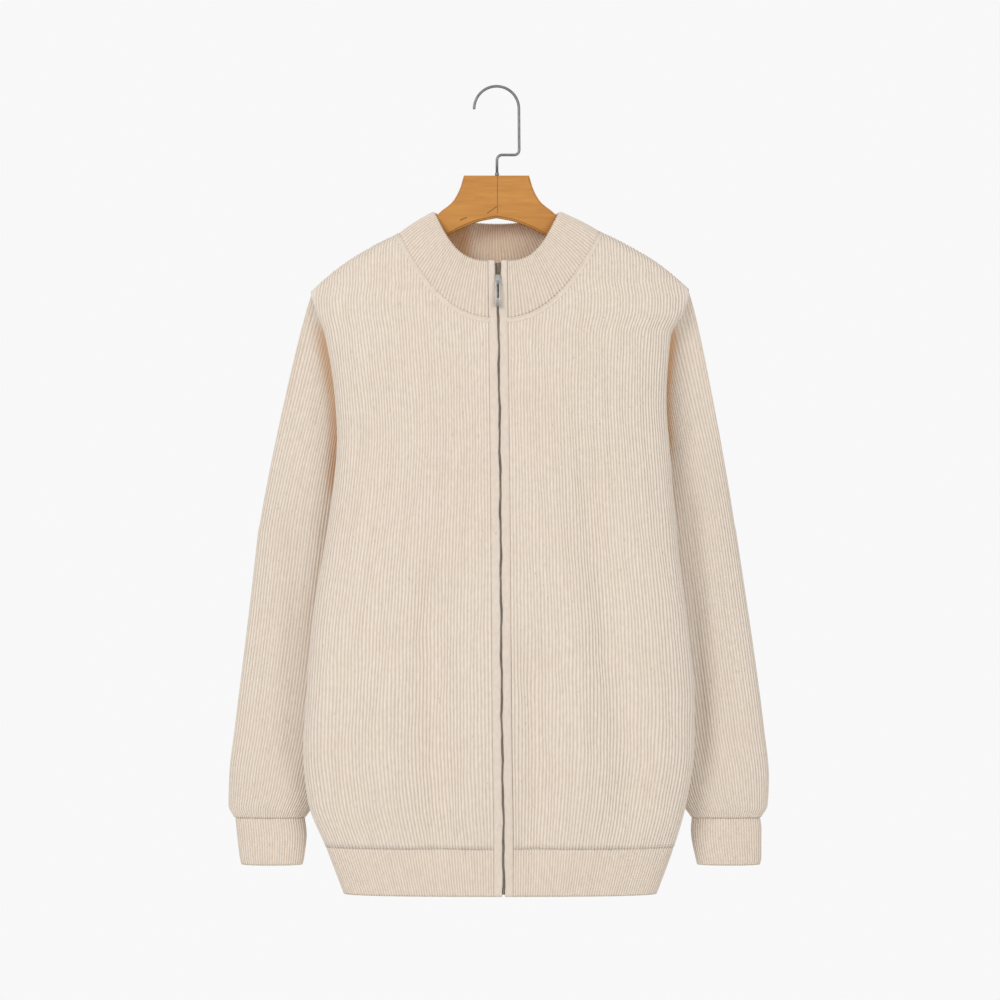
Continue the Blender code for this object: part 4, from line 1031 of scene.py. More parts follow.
def make_sleeves(grids, materials):
    for word, side, seed in (("left", LEFT, 21), ("right", RIGHT, 22)):
        points, edge_normals = sleeve_grid(grids, side)
        normals = smoothed(cloth_normals(points, True, side), NORMAL_SMOOTHING)
        normals[0] = edge_normals
        normals[1:4] = (normals[0] + normals[4]) / 2.0
        normals = unit(normals)
        rows, count = points.shape[:2]
        share = np.arange(count) / count
        under = smooth_step(1.0 - np.abs(share - 0.5) / UNDERARM_SPREAD)
        cap = np.clip((CAP_ROWS - np.arange(rows)) / CAP_THIN_ROWS, 0.0, 1.0)
        fullness = (1.0 - UNDERARM_THINNING * cap[:, None] * under[None, :])[..., None]
        ridge = rib_profile(count, rows, seed)[..., None]
        push = fold_push(SLEEVE_FOLDS[side], points[..., 0], points[..., 2])
        push = push * np.clip(-normals[..., 1], 0.0, 1.0)
        beside = smooth_step(share / GAP_START) * smooth_step((GAP_END - share) / GAP_START)
        row = np.arange(rows)[:, None]
        gap = smooth_step(row / GAP_RISE) * smooth_step((GAP_ROWS - row) / GAP_RISE) * beside
        points = points - normals * (push + gap * GAP_DEPTH)[..., None]
        # The shaded mark carries painted shade under the arm and beside the armhole
        knit_piece(
            "sleeve_shell_" + word, "sleeve_" + word, "knit_rib", materials["knit"],
            points, normals, ridge * fullness, wall=CLOTH_WALL * fullness,
            closed=True, shaded=sleeve_shade(side, points, share, beside),
        )


def add_band(name, solid, material, points, side, seed, closed=False):
    """A finely ribbed band whose ribs are flatter along its seams."""
    rows, columns = points.shape[:2]
    ridge = (rib_profile(columns, rows, seed) * seam_fade(rows))[..., None]
    knit_piece(
        name, solid, "band_rib", material, points, cloth_normals(points, closed, side), ridge,
        rise=RIB_HEIGHT * BAND_SHARE, closed=closed,
    )


def make_cuffs(materials):
    count = CUFF_RIBS * RIB_COLUMNS
    levels = np.linspace(CUFF_RINGS[0][0] + CUFF_TUCK, CUFF_RINGS[-1][0], CUFF_ROWS)
    for word, side, seed in (("left", LEFT, 31), ("right", RIGHT, 32)):
        points = np.array([oval_ring(side, cuff_curves, level, count) for level in levels])
        add_band("cuff_band_" + word, "cuff_" + word, materials["band"], points, side, seed, closed=True)


def make_hems(materials):
    top = HEM_SEAM - SEAM_TOUCH
    shares = rib_shares(((0.0, 1.0, HEM_RIBS),))[None, :]
    levels = np.linspace(HEM_BOTTOM, top, HEM_ROWS)[:, None]
    for word, side, seed in (("left", LEFT, 41), ("right", RIGHT, 42)):
        points = panel_place("front", side, shares, levels)
        add_band("hem_band_front_" + word, "hem_front_" + word, materials["band"], points, side, seed)
    levels = np.linspace(HEM_BOTTOM - BACK_HEM_DROP, top, HEM_ROWS)[:, None]
    halves = [panel_place("back", side, shares, levels) for side in (LEFT, RIGHT)]
    points = np.concatenate((halves[0], halves[1][:, -2::-1]), axis=1)
    add_band("hem_band_back", "hem_back", materials["band"], points, LEFT, 43)


def collar_seam(angle):
    """The neck seam round the neck: angle 0 is the front middle, pi the back middle."""
    x = NECK_MIDDLE + NECK_HALF_WIDTH * np.sin(angle)
    front = np.abs(angle) <= math.pi / 2
    height = np.where(front, neck_height(x, "front"), neck_height(x, "back")) + NECK_GAP
    y = np.where(front, body_y("front", x, height), body_y("back", x, height))
    return np.stack((x, y, height), axis=-1)


def collar_rim(angle):
    """The collar's folded top edge."""
    facing = np.abs(np.cos(angle))
    front = np.abs(angle) <= math.pi / 2
    x = RIM_HALF_WIDTH * np.sin(angle)
    sag = 1.0 - (1.0 - facing**RIM_SAG_INNER) ** RIM_SAG_OUTER
    y = np.where(front, -RIM_DEPTH["front"] * facing, RIM_DEPTH["back"] * facing)
    drop = np.where(front, RIM_DROP_FRONT * sag, RIM_DROP_BACK * facing * facing)
    return np.stack((x, y, RIM_TOP - drop), axis=-1)


def collar_place(angle, share):
    """Points of the collar, from its seam at 0 to its rim at 1."""
    angle = np.asarray(angle, float)
    low = collar_seam(angle)
    high = collar_rim(angle)
    out = np.stack((np.sin(angle), -np.cos(angle), np.zeros_like(angle)), axis=-1)
    return low + (high - low) * share + out * COLLAR_BULGE * math.sin(share * math.pi)


def collar_angles(count):
    """Angles round the collar, evenly spread from the zip's left edge round to its right."""
    dense = np.linspace(0.0, 2 * math.pi, COLLAR_STEPS)
    turned = np.where(dense <= math.pi, -dense, 2 * math.pi - dense)
    middle = collar_place(turned, 0.5)
    lengths = np.concatenate(([0.0], np.cumsum(np.linalg.norm(np.diff(middle, axis=0), axis=1))))
    places = np.linspace(FRONT_EDGE, lengths[-1] - FRONT_EDGE, count)
    found = np.interp(places, lengths, dense)
    return np.where(found <= math.pi, -found, 2 * math.pi - found)


def collar_grid(shares):
    """The collar's outer side: rows from the seam up, columns from the zip round to it."""
    count = COLLAR_RIBS * RIB_COLUMNS + 1
    angles = collar_angles(count)
    fade = np.clip(1.0 - np.arange(count) / (count * COLLAR_EDGE_SHARE), 0.0, 1.0)
    rows = []
    for share in shares:
        row = collar_place(angles, share)
        zip_x = zip_middle(float(collar_place(0.0, share)[2]))
        left_shift = zip_x - FRONT_EDGE - row[0, 0]
        right_shift = zip_x + FRONT_EDGE - row[-1, 0]
        row[:, 0] += left_shift * fade + right_shift * fade[::-1]
        rows.append(row)
    return np.array(rows)


def make_collar(materials):
    """The collar as one strip of cloth that runs up, over the rim's fold and down inside."""
    radius = COLLAR_WALL / 2
    outer = collar_grid(np.linspace(0.0, 1.0 - radius / COLLAR_HEIGHT, COLLAR_ROWS))
    normals = cloth_normals(outer, False, LEFT)
    rise = unit(outer[-1] - outer[-2])
    turns = np.linspace(0.0, math.pi, COLLAR_FOLD_ROWS)[1:-1, None, None]
    fold_normals = normals[-1] * np.cos(turns) + rise * np.sin(turns)
    fold = outer[-1] - normals[-1] * radius + fold_normals * radius
    points = np.concatenate((outer, fold, (outer - normals * COLLAR_WALL)[::-1]))
    all_normals = np.concatenate((normals, fold_normals, -normals[::-1]))
    rows, columns = points.shape[:2]
    ridge = rib_profile(columns, rows, 51)[..., None]
    surface = points + all_normals * (ridge * RIB_HEIGHT - COLLAR_SINK)
    # Painted shade on the collar's inside, stronger on its left side
    inside = smooth_step((np.arange(rows) - COLLAR_ROWS) / COLLAR_FOLD_ROWS)[:, None]
    on_left = smooth_step((COLLAR_SHADE_X - surface[..., 0]) / COLLAR_SHADE_FADE)
    shaded = inside * (COLLAR_SHADE + (1.0 - COLLAR_SHADE) * COLLAR_LEFT_SHADE * on_left)
    marks = {
        "ribbed": np.ones(rows * columns, np.float32),
        "shaded": np.ascontiguousarray(shaded.ravel(), np.float32),
    }
    lengths = np.cumsum(np.linalg.norm(np.diff(surface, axis=0, prepend=surface[:1]), axis=2), axis=0)
    row, column = np.meshgrid(np.arange(rows), np.arange(columns - 1), indexing="ij")
    row, column = row.ravel(), column.ravel()
    quads = cell_corners(columns, row, (row + 1) % rows, column, column + 1)
    over = np.stack((column, column + 1, column + 1, column), axis=1) / RIB_COLUMNS
    along = lengths.ravel()[quads] / STITCH
    uvs = np.stack((over, along), axis=2).reshape(-1, 2)
    caps = [[r * columns for r in range(rows)], [r * columns + columns - 1 for r in range(rows)]]
    cap_uvs = np.array([(edge, 0.0) for edge in (0.0, float(COLLAR_RIBS)) for _ in range(rows)])
    piece = mesh_from_arrays(
        "collar_band", surface.reshape(-1, 3), quads.tolist() + caps,
        np.concatenate((uvs, cap_uvs)), materials["band"], marks,
    )
    stand_for(piece, "collar")


def centre_front(height):
    """The y of the cloth beside the zip, on the body or on the collar."""
    height = np.asarray(height, float)
    low = float(collar_seam(0.0)[2])
    body = body_y("front", zip_middle(height), np.minimum(height, low))
    share = np.clip((height - low) / (ZIP_TOP - low), 0.0, 1.0)
    on_collar = np.array([collar_place(0.0, part)[1] for part in share.ravel()]).reshape(share.shape)
    return np.where(height <= low, body, on_collar)


def waves(rows, height, turned=1):
    """The sum of a table's waves at a height, each start turned by a factor."""
    return sum(size * np.sin(height / length + start * turned) for size, length, start in rows)


def zip_wave(height):
    """How far the zip wavers sideways at a height."""
    return waves(ZIP_WAVES, height)


def opening_half(height):
    """Half the gap between the plackets: narrow below the slider, wider above and at the hem."""
    at_hem = smooth_step((HEM_SEAM - height) / OPEN_HEM_RISE)
    closed = OPEN_CLOSED + waves(OPENING_WAVES, height) + OPEN_AT_HEM * at_hem
    share = (height - SLIDER_LEVEL) / (ZIP_TOP - SLIDER_LEVEL)
    wide = OPEN_SLIDER + (OPEN_TOP - OPEN_SLIDER) * np.clip(share, 0.0, 1.0)
    return closed + (wide - closed) * smooth_step((height - SLIDER_LEVEL + OPEN_TURN) / OPEN_TURN)


def tube_piece(name, rings, material, uv_across=1.0):
    """A piece from rings of points, each ring joined to the next and the ends filled."""
    rings = np.asarray(rings)
    count, sides = rings.shape[:2]
    row, side = np.meshgrid(np.arange(count - 1), np.arange(sides), indexing="ij")
    row, side = row.ravel(), side.ravel()
    quads = cell_corners(sides, row, row + 1, side, (side + 1) % sides)
    widths = np.linalg.norm(np.diff(rings, axis=1, append=rings[:, :1]), axis=2)
    across = np.concatenate((np.zeros((count, 1)), np.cumsum(widths, axis=1)), axis=1) / uv_across
    steps = np.linalg.norm(np.diff(rings[:, 0], axis=0), axis=1)
    along = np.concatenate(([0.0], np.cumsum(steps))) / STITCH
    low, high = across[row], across[row + 1]
    place = np.arange(len(row))
    u = np.stack((low[place, side], low[place, side + 1], high[place, side + 1], high[place, side]), axis=1)
    v = np.stack((along[row], along[row], along[row + 1], along[row + 1]), axis=1)
    uvs = np.concatenate((np.stack((u, v), axis=2).reshape(-1, 2), np.zeros((2 * sides, 2))))
    ends = [list(range(sides)), list(range((count - 1) * sides, count * sides))]
    return mesh_from_arrays(name, rings.reshape(-1, 3), quads.tolist() + ends, uvs, material)


def make_neck_link(materials):
    """The plain strip, with a narrow cord along it, that joins the collar to the body."""
    dense = np.linspace(0.0, 2 * math.pi, COLLAR_STEPS)
    turned = np.where(dense <= math.pi, -dense, 2 * math.pi - dense)
    seam = collar_seam(turned)
    lengths = np.concatenate(([0.0], np.cumsum(np.linalg.norm(np.diff(seam, axis=0), axis=1))))
    places = np.linspace(FRONT_EDGE - LINK_START, lengths[-1] - FRONT_EDGE + LINK_END, LINK_COLUMNS)
    found = np.interp(places, lengths, dense)
    turned = np.where(found <= math.pi, -found, 2 * math.pi - found)
    seam = collar_seam(turned)
    front = np.abs(turned) <= math.pi / 2
    way = unit(np.gradient(seam[:, (0, 2)], axis=0))
    out = np.stack((way[:, 1], -way[:, 0]), axis=1)
    centre = np.array([NECK_MIDDLE, RIM_TOP])
    out *= np.sign(np.sum(out * (seam[:, (0, 2)] - centre), axis=1))[:, None]
    offsets = np.array([row[0] for row in LINK_SECTION])
    rises = np.array([row[1] for row in LINK_SECTION])
    x = seam[:, 0][:, None] + offsets * out[:, 0][:, None]
    height = seam[:, 2][:, None] + offsets * out[:, 1][:, None]
    height = np.minimum(height, shoulder_height(x) - LINK_BELOW_SHOULDER)
    y = np.where(front[:, None], body_y("front", x, height), body_y("back", x, height))
    base = np.stack((x, y, height), axis=2)
    across = base[:, LINK_FAR] - base[:, LINK_NEAR]
    along = np.gradient(base[:, LINK_MIDDLE], axis=0)
    normals = unit(np.cross(along, across))
    normals *= np.where(normals[:1, 1] > 0.0, -1.0, 1.0)[:, None]
    normals = unit(smoothed(normals, LINK_SMOOTHING, closed=False))
    rings = base + normals[:, None, :] * rises[None, :, None]
    piece = tube_piece("neck_link", rings, materials["plain"], uv_across=LINK_STITCH)


def placket_rings(side):
    """The rings of a placket's section: a rounded plain strip that puckers along the zip."""
    heights = np.linspace(HEM_BOTTOM, ZIP_TOP, ZIP_ROWS)
    middle = zip_middle(heights)
    inner_x = middle + zip_wave(heights) * ZIP_WAVE + side * opening_half(heights)
    outer_x = middle + side * (ZIP_HALF_GAP + PLACKET_WIDTH + PLACKET_LAP)
    face = centre_front(heights)
    share = np.linspace(0.0, 1.0, PLACKET_COLUMNS)
    crown = PLACKET_PROUD * PLACKET_EDGE_SHARE + PLACKET_CROWN * (1.0 - np.abs(2 * share - 1) ** 3.0)
    if side == RIGHT:
        for place in PLACKET_RIDGES:
            bump = np.exp(-(((share - place) / PLACKET_RIDGE_WIDTH) ** 2))
            crown = crown + PLACKET_RIDGE_RISE * bump
        crown = crown - PLACKET_RIDGE_SINK
    pucker = waves(PLACKET_PUCKERS, heights, side)
    rings = []
    for k, height in enumerate(heights):
        x = inner_x[k] + (outer_x[k] - inner_x[k]) * share
        y = face[k] - crown - pucker[k] * np.sin(share * math.pi) ** 2
        back_x = x[::-4]
        x = np.concatenate((x, back_x))
        y = np.concatenate((y, np.full(len(back_x), face[k] + PLACKET_BACK)))
        rings.append(np.stack((x, y, np.full(len(x), height)), axis=1))
    return np.array(rings)


def make_plackets(materials):
    for word, side in (("left", LEFT), ("right", RIGHT)):
        rings = placket_rings(side)
        middle = rings[-1].mean(axis=0)
        cap = middle + (rings[-1] - middle) * PLACKET_END_SHARE
        cap = cap + np.array([0.0, 0.0, PLACKET_END_RISE])
        rings = np.concatenate((rings, cap[None]))
        piece = tube_piece("placket_strip_" + word, rings, materials["plain"], uv_across=PLACKET_STITCH)
        stand_for(piece, "placket_" + word)


def make_tapes(materials):
    heights = np.linspace(HEM_BOTTOM + TAPE_SHORT, ZIP_TOP - TAPE_SHORT, ZIP_ROWS)
    face = centre_front(heights) + TAPE_FRONT
    middle = zip_middle(heights)
    for word, side in (("left", LEFT), ("right", RIGHT)):
        near_x = middle + zip_wave(heights) * TAPE_WAVE + side * TAPE_START
        far_x = middle + side * (TAPE_START + TAPE_WIDTH)
        rings = []
        for k, height in enumerate(heights):
            x = np.linspace(near_x[k], far_x[k], TAPE_COLUMNS)
            front = np.stack((x, np.full_like(x, face[k]), np.full_like(x, height)), axis=1)
            back = front[::-1] + np.array([0.0, TAPE_THICK, 0.0])
            rings.append(np.concatenate((front, back)))
        piece = tube_piece("tape_strip_" + word, rings, materials["tape"])
        stand_for(piece, "zip_tape_" + word)


def tooth_shape():
    """The points and faces of one tooth, a block with rounded edges, about its own middle."""
    builder = bmesh.new()
    bmesh.ops.create_cube(builder, size=1.0)
    bmesh.ops.scale(builder, vec=TOOTH_SIZE, verts=builder.verts)
    bmesh.ops.bevel(builder, geom=builder.edges[:], offset=TOOTH_BEVEL, segments=1, affect="EDGES")
    builder.verts.ensure_lookup_table()
    points = np.array([vert.co for vert in builder.verts])
    faces = [[vert.index for vert in face.verts] for face in builder.faces]
    builder.free()
    return points, faces


def make_teeth(materials):
    """The zip's teeth, meshed below the slider and apart above it, as one joined mesh."""
    shape, shape_faces = tooth_shape()
    heights = np.arange(HEM_BOTTOM + TEETH_FROM_HEM, SLIDER_LEVEL - TEETH_BELOW_SLIDER, TEETH_STEP)
    sides = np.where(np.arange(len(heights)) % 2 == 0, LEFT, RIGHT)
    runs = [(heights, zip_middle(heights) + zip_wave(heights) * ZIP_WAVE + sides * TOOTH_OFFSET)]
    heights = np.arange(SLIDER_LEVEL + TEETH_ABOVE_SLIDER, ZIP_TOP - TEETH_FROM_TOP, 2 * TEETH_STEP)
    for side, shift in ((LEFT, 0.0), (RIGHT, TEETH_STEP)):
        rows = heights + shift
        runs.append((rows, zip_middle(rows) + side * (opening_half(rows) - TEETH_APART)))
    places = np.concatenate([
        np.stack((x, centre_front(rows) + TEETH_DEPTH, rows), axis=1) for rows, x in runs
    ])
    points = (places[:, None, :] + shape[None]).reshape(-1, 3)
    faces = []
    for k in range(len(places)):
        faces += [[index + k * len(shape) for index in face] for face in shape_faces]
    corners = sum(len(face) for face in faces)
    piece = mesh_from_arrays("zip_teeth", points, faces, np.zeros((corners, 2)), materials["teeth"])


def sweep(path, side, section):
    """Rings of a section carried along a path. `side` is the section's first direction."""
    path = np.asarray(path, float)
    side = np.asarray(side, float)
    up = unit(np.cross(side, unit(np.gradient(path, axis=0))))
    return np.array([
        [place + side * a + up[k] * b for a, b in section] for k, place in enumerate(path)
    ])


def round_section(radius, count):
    turns = np.linspace(0.0, 2 * math.pi, count, endpoint=False)
    return [(radius * math.cos(turn), radius * math.sin(turn)) for turn in turns]


def rounded_outline(half_width, top, bottom, radius, steps=8):
    """The points of a rounded rectangle in the plane of the tab."""
    points = []
    corners = (
        (half_width - radius, top - radius, 0.0),
        (-half_width + radius, top - radius, math.pi / 2),
        (-half_width + radius, bottom + radius, math.pi),
        (half_width - radius, bottom + radius, 1.5 * math.pi),
    )
    for x, z, start in corners:
        for i in range(steps + 1):
            angle = start + math.pi / 2 * i / steps
            points.append((x + radius * math.cos(angle), z + radius * math.sin(angle)))
    return np.array(points)


def add_plate(builder, outline, front, back, bevel, segments=2, clamp=False):
    """Adds a plate with rounded edges, whose outline of (x, z) runs from front to back."""
    made = builder.faces.new([builder.verts.new((x, front, z)) for x, z in outline])
    grown = bmesh.ops.extrude_face_region(builder, geom=[made])["geom"]
    moved = [item for item in grown if isinstance(item, bmesh.types.BMVert)]
    bmesh.ops.translate(builder, vec=(0.0, back - front, 0.0), verts=moved)
    faces = [item for item in grown if isinstance(item, bmesh.types.BMFace)] + [made]
    edges = list({edge for part in faces for edge in part.edges})
    bmesh.ops.bevel(
        builder, geom=edges, offset=bevel, segments=segments, affect="EDGES", clamp_overlap=clamp
    )


def join_rings(builder, rings):
    """Adds the faces between each ring of corners and the next."""
    for low, high in zip(rings, rings[1:]):
        for k in range(len(low)):
            n = (k + 1) % len(low)
            builder.faces.new((low[k], low[n], high[n], high[k]))


def make_slider(materials):
    """The slider: a shaped plate with folded sides, the wedge behind it and its bridge."""
    x, face = TAB_AXIS[0], TAB_AXIS[1] + SLIDER_EYE_HALF
    whole = bmesh.new()

    def add_part(outline, front, back, bevel):
        outline = [(x + a, SLIDER_LEVEL + b) for a, b in outline]
        add_plate(whole, outline, face + front, face + back, bevel)

    other_half = tuple((-a, b) for a, b in SLIDER_OUTLINE[-2:0:-1])
    add_part(SLIDER_OUTLINE + other_half, 0.0, SLIDER_PLATE, SLIDER_BEVEL)
    add_part(SLIDER_WEDGE, SLIDER_BEHIND, SLIDER_WEDGE_BACK, SLIDER_WEDGE_BEVEL)
    for side in (LEFT, RIGHT):
        rail = [(side * a, b) for a, b in SLIDER_RAIL]
        add_part(rail, SLIDER_BEHIND, SLIDER_RAIL_BACK, SLIDER_RAIL_BEVEL)
    arch = [(x, face + BRIDGE_SINK, BRIDGE_MIDDLE + BRIDGE_HALF)]
    for turn in np.linspace(0.0, math.pi, BRIDGE_STEPS):
        rise = BRIDGE_RISE * math.sin(turn) ** BRIDGE_SQUARE
        along = np.sign(math.cos(turn)) * abs(math.cos(turn)) ** BRIDGE_SQUARE
        arch.append((x, face - rise, BRIDGE_MIDDLE + BRIDGE_HALF * along))
    arch.append((x, face + BRIDGE_SINK, BRIDGE_MIDDLE - BRIDGE_HALF))
    rings = sweep(arch, (1.0, 0.0, 0.0), BRIDGE_SECTION)
    verts = [[whole.verts.new(point) for point in ring] for ring in rings]
    join_rings(whole, verts)
    whole.faces.new(verts[0])
    whole.faces.new(verts[-1])
    piece = mesh_object("slider_body", whole, materials["metal"], smooth=False)
    stand_for(piece, "zip_slider")


def make_pull_tab(materials):
    """The slotted tab with rounded edges, hung by the bar above its slot."""
    half = TAB_THICK / 2
    slot_bottom = -TAB_EDGE - TAB_SLOT_LENGTH
    outer = (TAB_WIDTH / 2, TAB_EDGE, TAB_EDGE - TAB_LENGTH, TAB_CORNER)
    slot = (TAB_SLOT_WIDTH / 2, -TAB_EDGE, slot_bottom, TAB_SLOT_CORNER)
    edge_rows = [(inset, deep - half) for inset, deep in TAB_EDGE_ROUND]
    edge_rows += [(inset, half - deep) for inset, deep in reversed(TAB_EDGE_ROUND)]
    slot_rows = [(inset, half - deep) for inset, deep in TAB_SLOT_ROUND]
    slot_rows += [(inset, deep - half) for inset, deep in reversed(TAB_SLOT_ROUND)]
    builder = bmesh.new()
    rings = []
    for (wide, top, bottom, corner), rows in ((outer, edge_rows), (slot, slot_rows)):
        for inset, y in rows:
            outline = rounded_outline(wide - inset, top - inset, bottom + inset, corner - inset)
            ring = [np.array(TAB_AXIS) + (x, y, z) for x, z in outline]
            rings.append([builder.verts.new(point) for point in ring])
    join_rings(builder, rings + rings[:1])
    piece = mesh_object("pull_tab_plate", builder, materials["metal"], body="pull_tab")
    stand_for(piece, "zip_pull_tab")


def make_board(materials):
    """The hanger's board with its rounded edges."""
    upper = curve_through(((HANGER_TOP_HALF, HANGER_TOP),) + HANGER_UPPER_EDGE, 1)
    lower = curve_through(HANGER_LOWER_EDGE, 1)
    upper_x = np.linspace(HANGER_TOP_HALF, HANGER_UPPER_EDGE[-1][0], HANGER_STEPS)
    lower_x = np.linspace(HANGER_LOWER_EDGE[0][0], 0.0, HANGER_STEPS)
    right = [(x, float(upper(x))) for x in upper_x] + [HANGER_TIP]
    right += [(x, float(lower(x))) for x in lower_x]
    outline = right + [(-x, z) for x, z in reversed(right[:-1])]
    builder = bmesh.new()
    half = HANGER_THICK / 2
    add_plate(builder, outline, -half, half, HANGER_BEVEL, segments=5, clamp=True)
    for edge in builder.edges:
        edge.smooth = all(len(face.verts) < len(outline) for face in edge.link_faces)
    board = mesh_object("hanger_board", builder, materials["wood"])
    stand_for(board, "hanger_wood")


def make_hook(materials):
    """The wire hook, bent twice below its arch, and the ferrule round its foot."""
    centre_z = -(HOOK_RADIUS - WIRE / 2)
    route = []
    for turn in np.linspace(math.pi, 0.0, HOOK_STEPS):
        route.append((HOOK_RADIUS * math.cos(turn), 0.0, centre_z + HOOK_RADIUS * math.sin(turn)))
    shank = (HOOK_SHANK_X, HOOK_STEP)
    stem = (HOOK_STEM_X, HOOK_STEP)
    for corner, before, after in (
        (shank, (HOOK_SHANK_X, centre_z), stem),
        (stem, shank, (HOOK_STEM_X, HANGER_TOP)),
    ):
        corner, before, after = (np.array(place) for place in (corner, before, after))
        start = corner + unit(before - corner) * HOOK_CORNER
        end = corner + unit(after - corner) * HOOK_CORNER
        centre = start + end - corner
        for turn in np.linspace(0.0, math.pi / 2, HOOK_CORNER_STEPS):
            x, z = centre + (start - centre) * math.cos(turn) + (end - centre) * math.sin(turn)
            route.append((x, 0.0, z))
    route.append((HOOK_STEM_X, 0.0, HANGER_TOP + HOOK_FOOT))
    rings = sweep(route, (0.0, 1.0, 0.0), round_section(WIRE / 2, WIRE_SIDES))
    start = np.array(route[0])
    away = unit(start - np.array(route[1]))
    tip = [start + (rings[0] - start) * share + away * rise for share, rise in HOOK_TIP]
    hook = tube_piece("hook_wire", np.concatenate((np.array(tip), rings)), materials["steel"])
    stand_for(hook, "hanger_hook")
    collar = [
        [(HOOK_STEM_X + a, b, height) for a, b in round_section(radius, FERRULE_SIDES)]
        for radius, height in FERRULE
    ]
    ferrule = tube_piece("hook_ferrule", collar, materials["steel"])


def node(tree, kind, **values):
    """A shader node with some of its properties or inputs set."""
    made = tree.nodes.new(kind)
    for name, value in values.items():
        if hasattr(made, name):
            setattr(made, name, value)
        else:
            made.inputs[name.replace("_", " ")].default_value = value
    return made


def math_node(tree, operation, first, second=None):
    """A Math node joined to sockets or set to numbers. Returns its output."""
    made = tree.nodes.new("ShaderNodeMath")
    made.operation = operation
    for place, value in enumerate((first, second)):
        if value is None:
            continue
        if isinstance(value, (int, float)):
            made.inputs[place].default_value = value
        else:
            tree.links.new(value, made.inputs[place])
    return made.outputs[0]


def mix_colours(tree, factor, first, second, blend="MIX"):
    """A Mix Color node. Returns its output."""
    made = tree.nodes.new("ShaderNodeMix")
    made.data_type = "RGBA"
    made.blend_type = blend
    for place, value in ((0, factor), (6, first), (7, second)):
        if isinstance(value, bpy.types.NodeSocket):
            tree.links.new(value, made.inputs[place])
        elif isinstance(value, tuple):
            made.inputs[place].default_value = (*value, 1.0)
        else:
            made.inputs[place].default_value = value
    return made.outputs[2]


def marked(tree, name):
    """A number stored at each point of the mesh."""
    made = tree.nodes.new("ShaderNodeAttribute")
    made.attribute_name = name
    return made.outputs["Fac"]


def scaled(tree, socket, factor, offset=0.0):
    """A socket's value times a factor, and an offset added."""
    made = tree.nodes.new("ShaderNodeMath")
    made.operation = "MULTIPLY_ADD"
    tree.links.new(socket, made.inputs[0])
    made.inputs[1].default_value = factor
    made.inputs[2].default_value = offset
    return made.outputs[0]


def start_material(name, roughness, specular=0.5, metallic=0.0):
    made = bpy.data.materials.new(name)
    made.use_nodes = True
    tree = made.node_tree
    shader = tree.nodes["Principled BSDF"]
    shader.inputs["Roughness"].default_value = roughness
    shader.inputs["Specular IOR Level"].default_value = specular
    shader.inputs["Metallic"].default_value = metallic
    return made, tree, shader


def add_bump(tree, shader, height, strength, distance):
    bump = node(tree, "ShaderNodeBump", Strength=strength, Distance=distance)
    tree.links.new(height, bump.inputs["Height"])
    tree.links.new(bump.outputs[0], shader.inputs["Normal"])


def noise(tree, place, scale, detail=3.0, roughness=0.6, stretch=(1.0, 1.0, 1.0)):
    """A noise's value at a place, drawn out along the axes by `stretch`."""
    mapping = tree.nodes.new("ShaderNodeMapping")
    mapping.inputs["Scale"].default_value = stretch
    tree.links.new(place, mapping.inputs["Vector"])
    texture = node(tree, "ShaderNodeTexNoise", Scale=scale, Detail=detail, Roughness=roughness)
    tree.links.new(mapping.outputs[0], texture.inputs["Vector"])
    return texture.outputs["Fac"]


